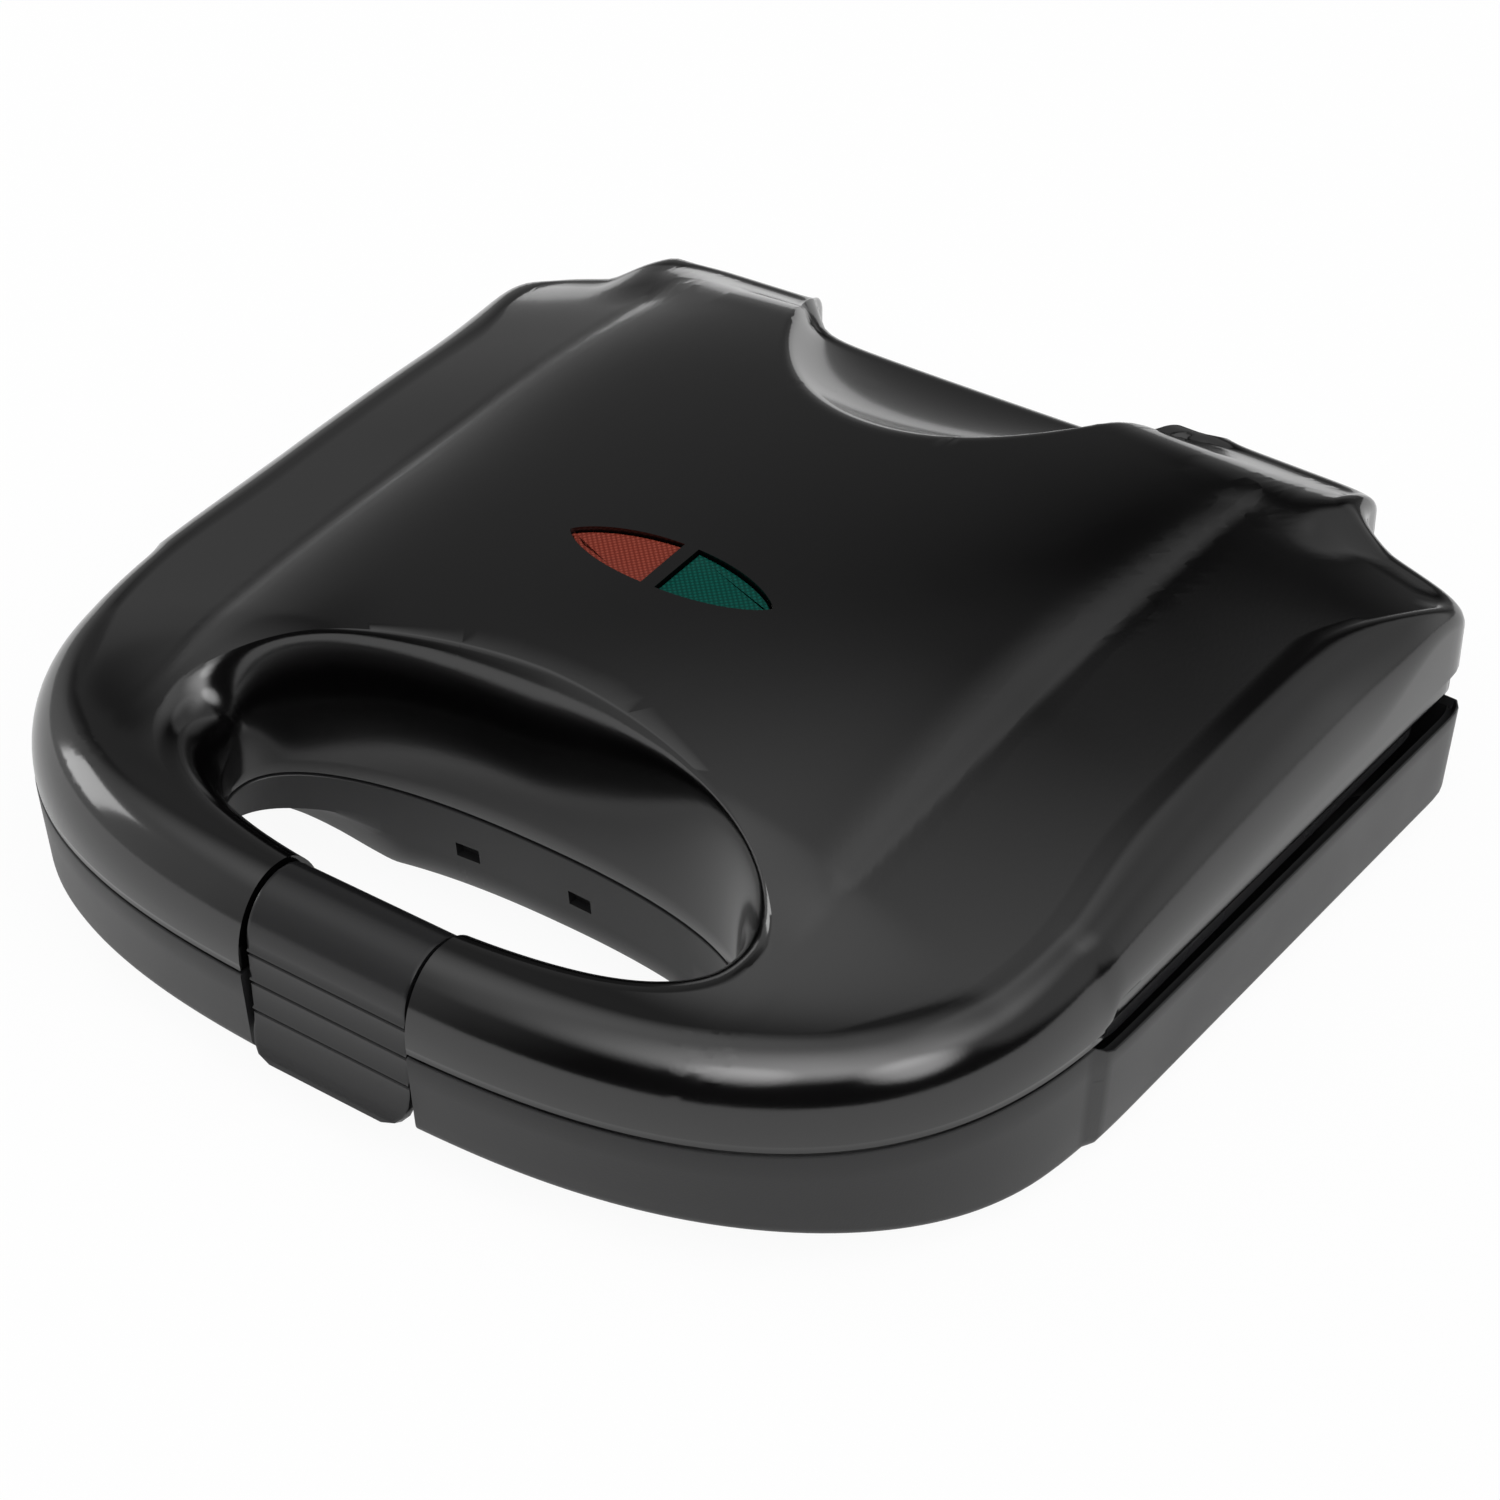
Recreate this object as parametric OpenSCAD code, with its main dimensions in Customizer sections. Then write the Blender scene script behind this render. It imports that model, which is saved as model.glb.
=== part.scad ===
// Electric mini-ring doughnut maker: a hinged clam-shell with two heated ring-mould plates.
// Frame: +Z up, +Y towards the hinge, X across; origin at the middle of the footprint, feet at z = 0.

/* [Case] */
// Width of the case across its straight sides
case_w = 224; // [216:1:232]
// Distance from the frame's origin to the front of the handle
case_front = 110.6; // [106:0.2:114]
// Where the rounded front ends and the straight sides start (y)
side_start_y = -21.5; // [-26:0.5:-18]
// Exponent of the rounded front's superellipse
front_exponent = 2.83; // [2.4:0.01:3.2]
// Rear face of the case beside the hinge lugs (y)
wing_back_y = 94.5; // [92:0.5:96]
// Height of the parting line between lid and base
seam_z = 28; // [27:0.5:29]
// Wall of the two moulded shells
shell_wall = 2.4; // [2:0.1:3]

/* [Lid shape] */
// Height of the crown at its highest point
crown_z = 70; // [66:0.5:74]
// Where the crown is highest (y)
crown_peak_y = 50; // [44:1:56]
// How far the soft crease at each side lies below the crown
crease_drop = 9.1; // [7:0.1:10]
// Distance of each crease from the middle plane
crease_x = 71; // [66:1:74]
// Height of the handle bar's top
bar_top_z = 45; // [43:0.5:47]
// Height of the outer side panels at their shoulder
shoulder_z = 53.8; // [51:0.2:56]
// Lower edge of the lid beside the plates
lid_side_z = 31.5; // [31:0.5:33]

/* [Handle opening] */
// Width of the finger opening at the parting line
opening_w = 112; // [106:1:116]
// Depth of the finger opening at the parting line
opening_d = 37.4; // [35:0.2:39]
// Middle of the finger opening (y)
opening_y = -69.9; // [-71:0.1:-69]
// Width of the scoop round the opening in the lid's top
scoop_w = 133; // [128:1:136]

/* [Hinge] */
// Height of the hinge axis
hinge_z = 27; // [26:0.5:28]
// Hinge axis (y)
hinge_y = 99; // [98.5:0.5:100]
// Radius of the hinge pins
hinge_pin_r = 2; // [1.8:0.1:2.2]
// Inner side of each hinge lug (x)
lug_in = 48.8; // [47:0.2:50]
// Outer side of each hinge lug (x)
lug_out = 84.4; // [83:0.2:86]
// Rear face of the hinge lugs (y)
lug_back_y = 111.5; // [110:0.5:113]

/* [Latch] */
// Width of the latch clip
clip_w = 35.6; // [34:0.2:38]
// Clearance each side of the clip
clip_gap = 1; // [0.6:0.1:1.4]
// Height of the latch pivot
latch_z = 38.5; // [38:0.5:39]
// Latch pivot (y)
latch_y = -98.5; // [-99:0.5:-98]

/* [Plates] */
// Spacing of the ring moulds
ring_pitch = 46; // [45:0.5:47]
// Radius of a ring's centre line
ring_major_r = 14.2; // [13.5:0.1:14.4]
// Radius of a ring's section
ring_minor_r = 7.8; // [7:0.1:7.9]
// Half width of a plate
plate_half_w = 110; // [108:0.5:110]
// Front edge of the plates (y)
plate_front_y = -45; // [-46:0.5:-43]
// Rear edge of the plates (y)
plate_back_y = 88; // [86:0.5:89]
// Thickness of a plate's rim
plate_t = 2.9; // [2.6:0.1:3]

/* [Hidden] */
$fn = 48;
half_w = case_w / 2;
front_reach = side_start_y + case_front;
side_flare = 0.006;
slot_half = clip_w / 2 + clip_gap;
notch_front_y = -39.5;
notch_back_y = -36.5;
scoop_y = -73.5;
scoop_back = 27.5;
scoop_front = 25.5;
mid_back_y = 98;
crown_fall_front = 0.00068;
crown_fall_back = 0.0014;
edge_fall_front = 0.00075;
edge_fall_back = 0.0048;
lug_z = 58;
lug_fall = 0.47;
lug_cant = 0.03;
lip_w = 2.4;
lip_h = 4;
lip_full_y = -29;
gloss_black = "#101012";
satin_black = "#1b1c1e";
zinc = "#b9bcc0";
steel = "#9a9da2";
nonstick = "#26272a";
rubber_black = "#141414";

// ---- plan outline of the case -------------------------------------------------------------
function side_x(y) = half_w + side_flare * (y - side_start_y);
function front_x(y) = half_w
    * pow(1 - pow((side_start_y - y) / front_reach, front_exponent), 1 / front_exponent);
function front_point(a) = [half_w * pow(sin(a), 2 / front_exponent),
    side_start_y - front_reach * pow(cos(a), 2 / front_exponent)];
corner_r = 4.5;
function corner_point(a) = [side_x(wing_back_y) - corner_r + corner_r * cos(a),
    wing_back_y - corner_r + corner_r * sin(a)];
// Right half of the outline, from the middle of the front to the middle of the back
half_outline = concat(
    [for (a = [0:5:75]) front_point(a)],
    [for (y = [-48, notch_front_y, notch_back_y, lip_full_y, side_start_y]) [front_x(y), y]],
    [for (y = [-5:20:75]) [side_x(y), y]],
    [for (a = [0:22.5:90]) corner_point(a)],
    [[96, wing_back_y], [lug_out + 4.6, wing_back_y + 0.3], [lug_out + 1.8, wing_back_y + 2.2],
     [lug_out + 0.5, wing_back_y + 6], [lug_out - 0.2, lug_back_y - 4], [lug_out - 1.6, lug_back_y - 1.2],
     [lug_out - 4.6, lug_back_y], [(lug_in + lug_out) / 2, lug_back_y], [lug_in + 4, lug_back_y],
     [lug_in + 1, lug_back_y - 1.5], [lug_in - 0.4, lug_back_y - 5], [lug_in - 2.2, mid_back_y + 2.6],
     [lug_in - 5, mid_back_y + 0.4], [lug_in - 11, mid_back_y], [25, mid_back_y], [12, mid_back_y]]);
half_count = len(half_outline);
outline = concat(half_outline, [[0, mid_back_y]],
    [for (i = [half_count - 1:-1:1]) [-half_outline[i][0], half_outline[i][1]]]);
count = len(outline);
function unit(v) = v / norm(v);
function wrap(i) = (i + count) % count;
function tangent(i) = unit(outline[wrap(i + 1)] - outline[wrap(i - 1)]);
// Inward normal at an outline point
function inward(i) = [-tangent(i)[1], tangent(i)[0]];
function smooth(a, b, v) = let (t = max(0, min(1, (v - a) / (b - a)))) t * t * (3 - 2 * t);
function mix(a, b, t) = a + (b - a) * t;
function super_r(d, a, b, n) = 1 / pow(pow(abs(d[0]) / a, n) + pow(abs(d[1]) / b, n), 1 / n);
// Direction from the finger opening's middle to an outline point
function spoke(i) = unit(outline[i] - [0, -71]);
function opening_point(i, grow = 0) = [0, opening_y]
    + spoke(i) * super_r(spoke(i), opening_w / 2 + grow, opening_d / 2 + grow, 2.3);
function scoop_point(i, grow = 0) = [0, scoop_y] + spoke(i) * (spoke(i)[1] > 0
    ? super_r(spoke(i), scoop_w / 2 + grow, scoop_back + grow, 1.7)
    : super_r(spoke(i), scoop_w / 2, scoop_front, 2.2));

// ---- height of the lid's top ----------------------------------------------------------------
function crown(y) = crown_z
    - (y < crown_peak_y ? crown_fall_front : crown_fall_back) * pow(y - crown_peak_y, 2);
back_crease_drop = 7.8;
function crease(y) = crown(y) - mix(crease_drop, back_crease_drop, smooth(0, 50, y));
// The middle panel rolls down to each crease, ever more steeply
function roll(t) = 0.6 * pow(t, 2) + 0.4 * pow(t, 6);
function panel_edge(y) = shoulder_z - (y < 60 ? edge_fall_front : edge_fall_back) * pow(y - 60, 2);
function panels(x, y) = abs(x) < crease_x
    ? mix(crown(y), crease(y), roll(abs(x) / crease_x))
    : mix(crease(y), panel_edge(min(y, 94)), (abs(x) - crease_x) / (half_w - side_shoulder_r - crease_x));
// Flat top of the hinge lugs, falling to the rear
function lug_top(x, y) = lug_z - lug_fall * (y - mid_back_y) - lug_cant * (abs(x) - lug_in);
function roof(x, y) = mix(panels(x, y), lug_top(x, y), smooth(76, 97, y) * smooth(93, 80, abs(x)));
recess_y = 49.5;
function recess_rim(x) = recess_y + 0.0168 * x * x + 0.000004 * pow(x, 4);
recess_z = 55;
function recess_depth(x, y) = let (t = max(0, min(1, (y - recess_rim(x)) / (mid_back_y - recess_rim(x)))))
    (roof(x, recess_rim(x)) - recess_z) * (1 - pow(1 - t, 2.2));
function in_recess(p) = abs(p[0]) < 46 && p[1] > recess_rim(p[0]);
function with_recess(x, y) = in_recess([x, y])
    ? min(roof(x, y), roof(x, recess_rim(x)) - recess_depth(x, y)) : roof(x, y);
// Where the line from p (inside the recess) to q crosses the recess's rim, by halving
function rim_crossing(p, q, low = 0, high = 1, turns = 12) = let (middle = (low + high) / 2)
    turns == 0 ? middle : in_recess(mix(p, q, middle))
        ? rim_crossing(p, q, middle, high, turns - 1) : rim_crossing(p, q, low, middle, turns - 1);
function lid_z(p) = mix(bar_top_z, max(bar_top_z, with_recess(p[0], p[1])), smooth(-94, -54, p[1]));
function lid_edge_z(y) = mix(seam_z, lid_side_z, smooth(notch_front_y, notch_back_y, y));
function lug_zone(p) = p[1] > wing_back_y + 4 && abs(p[0]) > lug_in - 3;
front_shoulder_r = 10;
side_shoulder_r = 9;
back_shoulder_r = 6;
function shoulder_r(p) = p[1] < side_start_y
    ? front_shoulder_r
    : mix(side_shoulder_r, back_shoulder_r, smooth(60, wing_back_y, p[1]));

// One section of the lid's skin, from the outer lower edge over the top to the finger opening.
// skin moves it inwards by that distance.
function reach(i) = 1 / max(0.6, inward(i) * (-spoke(i)));
function inset_point(i, d) = outline[i] - spoke(i) * d * reach(i);
function arc_steps(skin) = skin == 0 ? [0:15:90] : [0:45:90];
// Shares along a section where the panel is sampled: one of them always falls on the recess's rim
function panel_steps(skin, inner, rim) = let (
        s = in_recess(inner) ? max(0.02, rim_crossing(inner, rim))
            : inner[1] < 80 ? 0.5 : mix(0.02, 0.5, smooth(42, 104, abs(inner[0]))),
        before = skin == 0 ? [0.2, 0.45, 0.7, 0.88, 1] : [0.2, 0.45, 0.7, 1],
        after = skin == 0 ? [0.1, 0.22, 0.36, 0.52, 0.7, 0.87] : [0.3, 0.65])
    concat([for (t = before) t * s], [for (t = after) mix(s, 1, t)]);
function scoop_steps(skin) = skin == 0 ? [0:18:90] : [0:30:90];
function section(i, skin) = let (
        p = outline[i],
        r = shoulder_r(p) - skin,
        low = lug_zone(p) ? hinge_z - 1 : lid_edge_z(p[1]),
        lip = lug_zone(p) ? 0 : lip_w * smooth(notch_back_y, lip_full_y, p[1]),
        inner = inset_point(i, skin + r),
        top = lid_z(inner) - skin,
        rim = scoop_point(i, spoke(i)[1] > -0.1 ? skin : 0),
        rim_z = lid_z(rim) - skin,
        mouth = opening_point(i, skin))
    concat(
        [concat(inset_point(i, skin + lip), low)],
        [concat(inset_point(i, skin), low + lip_h)],
        [for (a = arc_steps(skin)) concat(inset_point(i, skin + r - r * cos(a)), top - r + r * sin(a))],
        [for (s = panel_steps(skin, inner, rim)) let (q = mix(inner, rim, s)) concat(q, lid_z(q) - skin)],
        [for (a = scoop_steps(skin)) concat(mix(rim, mouth, sin(a)), mix(rim_z, seam_z, 1 - cos(a)))]);
function reversed(v) = [for (i = [len(v) - 1:-1:0]) v[i]];

// Closed ring of sections: each is a closed loop of points, joined to the next by triangles
module ring_of_sections(sections) {
    n = len(sections);
    m = len(sections[0]);
    polyhedron(
        points = [for (s = sections) for (p = s) p],
        faces = [for (i = [0:n - 1]) for (j = [0:m - 1]) let (
            a = i * m + j, b = i * m + (j + 1) % m,
            c = ((i + 1) % n) * m + (j + 1) % m, d = ((i + 1) % n) * m + j)
            each [[a, b, c], [a, c, d]]],
        convexity = 8);
}

// Flat plate of the case's outline, d inside it
module outline_plate(d, z0, z1) {
    translate([0, 0, z0]) linear_extrude(z1 - z0)
        polygon([for (i = [0:count - 1]) outline[i] + inward(i) * d]);
}
module opening_hole(grow) {
    translate([0, 0, -1]) linear_extrude(crown_z + 10)
        polygon([for (i = [0:count - 1]) opening_point(i, grow)]);
}
module x_rod(r, x0, x1, y, z) {
    translate([x0, y, z]) rotate([0, 90, 0]) cylinder(r = r, h = x1 - x0);
}
module box(x0, x1, y0, y1, z0, z1) {
    translate([x0, y0, z0]) cube([x1 - x0, y1 - y0, z1 - z0]);
}
module both_sides() {
    children();
    mirror([1, 0, 0]) children();
}

// ---- pilot lamps -------------------------------------------------------------------------------
lens_half = 23.3;
lens_y = -11;
lens_side = 6.35;
lens_gap = 2;
lens_arc_r = (lens_half * lens_half + lens_side * lens_side) / (2 * lens_side);
lens_z = lid_z([lens_gap, lens_y]);
lens_tilt = [4.6, 2.6, 0];
// Half-leaf outline of one lens, grown by d
module lens_shape(d) {
    intersection() {
        translate([0, lens_y - lens_arc_r + lens_side]) circle(r = lens_arc_r + d, $fn = 96);
        translate([0, lens_y + lens_arc_r - lens_side]) circle(r = lens_arc_r + d, $fn = 96);
        translate([lens_gap - d, lens_y - 10]) square([lens_half + 4, 20]);
    }
}
// Lays its children on the sloping roof, at the inner end of the lens
module on_roof() {
    translate([lens_gap, lens_y, lens_z]) rotate(lens_tilt) translate([-lens_gap, -lens_y, 0]) children();
}
module lens() {
    on_roof() difference() {
        translate([0, 0, -5.5]) linear_extrude(5.9) lens_shape(0);
        translate([0, 0, -6.5]) linear_extrude(5) lens_shape(-1.4);
    }
}

module top_cover() {
    color(gloss_black) difference() {
        union() {
            ring_of_sections([for (i = [0:count - 1])
                concat(section(i, 0), reversed(section(i, shell_wall)))]);
            for (p = roof_posts) translate([p[0], p[1], p[2]])
                cylinder(r = p[3], h = lid_z(p) - 1.5 - p[2]);
        }
        box(-slot_half, slot_half, -case_front - 5, -84, seam_z - 1, bar_top_z + 5);
        both_sides() on_roof() translate([0, 0, -9]) linear_extrude(20) lens_shape(0.35);
        for (p = screw_posts) translate([p[0], p[1], p[2] - 1]) cylinder(r = post_bore_r, h = 8);
    }
}

// Moulded inner ring that closes the hollow handle and frames the plate
module bezel(z0, z1) {
    difference() {
        outline_plate(shell_wall + 0.35, z0, z1);
        opening_hole(shell_wall + 0.7);
        box(-150, 150, plate_front_y - 0.6, 150, z0 - 1, z1 + 1);
        box(-slot_half - 1.5, slot_half + 1.5, -130, -80, z0 - 1, z1 + 1);
    }
}
module lid_inner_bezel() {
    color(satin_black) bezel(seam_z + 0.2, seam_z + 2);
}
module base_inner_bezel() {
    color(satin_black) bezel(seam_z - 2, seam_z - 0.2);
}

// ---- mould plates ------------------------------------------------------------------------------
plate_mid_y = (plate_front_y + plate_back_y) / 2;
ring_centres = concat([[0, 0]], [for (a = [0:60:300]) ring_pitch * [cos(a), sin(a)]]);
plate_corner_r = 14;
plate_post = 8;
post_bore_r = 1.5;
cup_wall = 2.2;
cup_r = ring_major_r + ring_minor_r + cup_wall - 0.2;
plate_screws = [for (x = [-98, 98]) for (y = [-30, 58]) [x, y]];
module plate_slab(d, h) {
    linear_extrude(h) union() {
        translate([-plate_half_w + d, plate_front_y + plate_corner_r])
            square([2 * (plate_half_w - d), plate_back_y - plate_front_y - 2 * plate_corner_r]);
        translate([-plate_half_w + plate_corner_r, plate_front_y + d])
            square([2 * (plate_half_w - plate_corner_r), plate_back_y - plate_front_y - 2 * d]);
        for (x = [-1, 1]) for (y = [plate_front_y + plate_corner_r, plate_back_y - plate_corner_r])
            translate([x * (plate_half_w - plate_corner_r), y]) circle(r = plate_corner_r - d);
    }
}
// Lower plate with its moulding face up at z = 0
module mould_plate() {
    difference() {
        union() {
            translate([0, 0, -plate_t]) plate_slab(0, plate_t);
            for (c = ring_centres) translate([c[0], plate_mid_y + c[1], -ring_minor_r - cup_wall])
                cylinder(r = cup_r, h = ring_minor_r + cup_wall - 1);
            for (p = plate_screws) translate([p[0], p[1], -plate_post])
                cylinder(r = 3.5, h = plate_post - 1);
        }
        for (c = ring_centres) translate([c[0], plate_mid_y + c[1], 0]) rotate_extrude()
            translate([ring_major_r, 0]) circle(r = ring_minor_r);
        for (p = plate_screws) translate([p[0], p[1], -plate_post - 1]) cylinder(r = 1.6, h = 12);
        for (p = plate_screws) translate([p[0], p[1], -1.5]) cylinder(r = 3.3, h = 3);
    }
}
plate_gap = 0.1;
module lower_plate() {
    color(nonstick) translate([0, 0, seam_z - plate_gap]) mould_plate();
}
module upper_plate() {
    color(nonstick) translate([0, 0, seam_z + plate_gap]) mirror([0, 0, 1]) mould_plate();
}

// ---- heaters -------------------------------------------------------------------------------------
heater_r = 3.2;
heater_in_x = 77.5;
heater_out_x = 88.5;
heater_front_y = -6;
heater_back_y = 66;
// One hairpin tube heater lying on the back of a plate, centred on z = 0
module hairpin() {
    bend_r = (heater_out_x - heater_in_x) / 2;
    for (x = [heater_in_x, heater_out_x]) translate([x, heater_front_y, 0]) rotate([-90, 0, 0])
        cylinder(r = heater_r, h = heater_back_y - heater_front_y);
    translate([heater_in_x + bend_r, heater_front_y, 0]) rotate([0, 0, 180])
        rotate_extrude(angle = 180) translate([bend_r, 0]) circle(r = heater_r);
    for (x = [heater_in_x, heater_out_x]) translate([x, heater_back_y - 1, 0]) rotate([-90, 0, 0])
        cylinder(r = 1.2, h = 13);
}
// Strap clamp that holds a hairpin down, screwed to the plate
module heater_clamp(y) {
    box(heater_in_x - 4.5, heater_out_x + 4.5, y - 5, y + 5, heater_r + 0.1, heater_r + 0.1 + clamp_t);
    for (x = [heater_in_x - 4.5, heater_out_x + 3.5])
        box(x, x + 1, y - 5, y + 5, -heater_r + 0.1, heater_r + 0.2);
}
heater_lift = plate_t + heater_r + 0.1;
module at_lower_heater() {
    translate([0, 0, seam_z - plate_gap - heater_lift]) mirror([0, 0, 1]) children();
}
module at_upper_heater() {
    translate([0, 0, seam_z + plate_gap + heater_lift]) children();
}
module lower_heating_element() {
    color(steel) at_lower_heater() both_sides() hairpin();
}
module upper_heating_element() {
    color(steel) at_upper_heater() both_sides() hairpin();
}
module lower_heater_clamps() {
    color(zinc) at_lower_heater() both_sides() for (y = [8, 50]) heater_clamp(y);
}
module upper_heater_clamps() {
    color(zinc) at_upper_heater() both_sides() for (y = [8, 50]) heater_clamp(y);
}

// ---- reflectors: bright sheet pans behind the heaters ----------------------------------------
pan_t = 0.6;
pan_half_w = 93.8;
pan_front_y = -43.4;
pan_back_y = 86.4;
pan_depth = 7;
module reflector_pan() {
    difference() {
        box(-pan_half_w, pan_half_w, pan_front_y, pan_back_y, 0, pan_depth);
        box(-pan_half_w + pan_t, pan_half_w - pan_t, pan_front_y + pan_t, pan_back_y - pan_t,
            pan_t, pan_depth + 1);
    }
}
clamp_t = 1;
lower_pan_z = seam_z - plate_gap - heater_lift - heater_r - 0.1 - clamp_t - pan_t;
upper_pan_z = seam_z + plate_gap + heater_lift + heater_r + 0.1 + clamp_t + pan_t;
module lower_reflector() {
    color(zinc) translate([0, 0, lower_pan_z]) reflector_pan();
}
module upper_reflector() {
    color(zinc) translate([0, 0, upper_pan_z]) mirror([0, 0, 1]) reflector_pan();
}

// ---- screws --------------------------------------------------------------------------------------
// Pan-head screw, head down, shank up from z = 0
module screw(shank_r, head_r, head_h, length) {
    difference() {
        union() {
            cylinder(r = shank_r, h = length);
            translate([0, 0, -head_h]) cylinder(r = head_r, h = head_h);
        }
        for (a = [0, 90]) rotate([0, 0, a])
            box(-head_r * 0.6, head_r * 0.6, -0.4, 0.4, -head_h - 0.1, -head_h / 2);
    }
}
module lower_plate_screws() {
    color(steel) for (p = plate_screws)
        translate([p[0], p[1], seam_z - plate_gap - 1.5]) mirror([0, 0, 1]) screw(1.4, 3, 1.3, 11);
}
module upper_plate_screws() {
    color(steel) for (p = plate_screws)
        translate([p[0], p[1], seam_z + plate_gap + 1.5]) screw(1.4, 3, 1.3, 11);
}

// ---- posts under the lid's roof: x, y, foot, radius ------------------------------------------
arm_flange_z = 47;
holder_z = lens_z - 9;
screw_posts = concat(
    [for (p = plate_screws) [p[0], p[1], seam_z + plate_gap + plate_post, 3.9]],
    [for (x = [-66, 66]) [x, 88, arm_flange_z, 4]]);
roof_posts = concat(screw_posts,
    [for (x = [-22, 22]) for (y = [lens_y - 8.3, lens_y + 8.3]) [x, y, holder_z, 1.9]]);

// ---- electrical parts in the lid --------------------------------------------------------------
module thermostat() {
    color("#c9b98a") translate([84, -31, seam_z + plate_gap + plate_t + 0.1]) {
        cylinder(r = 7, h = 3.2);
        translate([0, 0, 3.2]) cylinder(r = 5.5, h = 2.2);
        for (x = [-3.4, 3.4]) box(x - 0.4, x + 0.4, -2.5, 2.5, 5.2, 7);
    }
}
module thermal_fuse() {
    color("#d8d4c8") translate([-81, -31, seam_z + plate_gap + plate_t + 2.2]) rotate([0, 90, 0]) {
        translate([0, 0, -6]) cylinder(r = 2.1, h = 12);
        translate([0, 0, -10]) cylinder(r = 0.5, h = 20);
    }
}
module lamp_holder() {
    color("#e6e2d6") difference() {
        box(-27, 27, lens_y - 10.5, lens_y + 10.5, holder_z - 4, holder_z);
        both_sides() x_rod(2.6, 3, 19, lens_y, holder_z);
    }
}
module neon_lamps() {
    color("#e8d9c8") both_sides() {
        x_rod(2.4, 4, 15.5, lens_y, holder_z);
        translate([15.5, lens_y, holder_z]) sphere(r = 2.4);
    }
}
module green_lens() {
    color("#0f7a58") lens();
}
module red_lens() {
    color("#c63c22") mirror([1, 0, 0]) lens();
}

// ---- latch -----------------------------------------------------------------------------------------
latch_pin_r = 1.5;
// Bridge across the gap in the handle bar: carries the clip's pivot pin
module latch_bracket() {
    color(satin_black) difference() {
        union() {
            box(-slot_half - 1.5, slot_half + 1.5, -105.5, -92, seam_z + 0.2, seam_z + 3);
            box(-slot_half + 0.3, slot_half - 0.3, -92.2, -89.2, seam_z + 0.2, seam_z + 4.4);
            x_rod(3.2, -11.5, 11.5, latch_y, latch_z);
            box(-11.5, 11.5, latch_y - 3.2, latch_y + 3.2, seam_z + 2, latch_z);
            both_sides() x_rod(3.2, slot_half - 0.2, slot_half + 1.5, latch_y, latch_z);
            both_sides() box(slot_half - 0.2, slot_half + 1.5, latch_y - 3.2, latch_y + 3.2,
                seam_z + 2, latch_z);
        }
        x_rod(latch_pin_r, -slot_half - 3, slot_half + 3, latch_y, latch_z);
    }
}
module latch_pivot_pin() {
    color(steel) x_rod(latch_pin_r, -slot_half - 1.5, slot_half + 1.5, latch_y, latch_z);
}
clip_front_y = -109;
clip_t = 2.2;
clip_top_z = 44.6;
clip_r = 10;
clip_foot_z = 11;
flare_z = 17;
catch_z = 22;
// Side view of the clip (y, z): saddle over the bar, flat front and flared finger tab
function clip_arc(r, from, to) = [for (a = [from:(to - from) / 8:to])
    [clip_front_y + clip_r + r * cos(a), clip_top_z - clip_r + r * sin(a)]];
clip_profile = concat(
    [[-90.6, 37.2], [-91.6, 39.6], [-93.2, 41.8], [-95.2, 43.6], [-97.2, clip_top_z - 0.2]],
    clip_arc(clip_r, 95, 180),
    [[clip_front_y, flare_z], [clip_front_y - 1.6, clip_foot_z + 1.8], [clip_front_y - 2.6, clip_foot_z],
     [clip_front_y - 0.6, clip_foot_z], [clip_front_y + clip_t, flare_z - 1],
     [clip_front_y + clip_t, catch_z - 3.4], [clip_front_y + clip_t + 1.9, catch_z - 1.4],
     [clip_front_y + clip_t + 1.9, catch_z - 1], [clip_front_y + clip_t, catch_z - 0.6]],
    clip_arc(clip_r - clip_t, 180, 95),
    [[-97.2, clip_top_z - 0.2 - clip_t], [-95.6, 41.6], [-94.4, 40.2], [-93.2, 38.4], [-92.6, 37.2]]);
rib_zs = [19.5, 25.9, 32.2];
clip_corner_r = 5;
// The clip's side view carried across its width, with the tab's two corners rounded
module clip_body(x0, x1) {
    intersection() {
        translate([x0, 0, 0]) rotate([90, 0, 90]) linear_extrude(x1 - x0) polygon(clip_profile);
        translate([0, -80, 0]) rotate([90, 0, 0]) linear_extrude(40) union() {
            translate([x0, clip_foot_z + clip_corner_r]) square([x1 - x0, 60]);
            translate([x0 + clip_corner_r, clip_foot_z]) square([x1 - x0 - 2 * clip_corner_r, 20]);
            for (x = [x0 + clip_corner_r, x1 - clip_corner_r])
                translate([x, clip_foot_z + clip_corner_r]) circle(r = clip_corner_r);
        }
    }
}
module latch_clip() {
    color(satin_black) difference() {
        union() {
            clip_body(-clip_w / 2, clip_w / 2);
            both_sides() x_rod(3.2, 12, 16.5, latch_y, latch_z);
            both_sides() box(12, 16.5, latch_y - 3.2, latch_y + 3.2, latch_z, clip_top_z - clip_t + 0.3);
        }
        x_rod(latch_pin_r + 0.05, -clip_w, clip_w, latch_y, latch_z);
        for (z = rib_zs) translate([-clip_w, clip_front_y - 0.05, z]) rotate([45, 0, 0])
            cube([2 * clip_w, 0.8, 0.8], center = false);
    }
}

// ---- hinge ------------------------------------------------------------------------------------------
knuckle_r = 6;
knuckle_x0 = 58;
knuckle_x1 = 74;
ear_t = 4;
ear_gap = 0.4;
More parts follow.
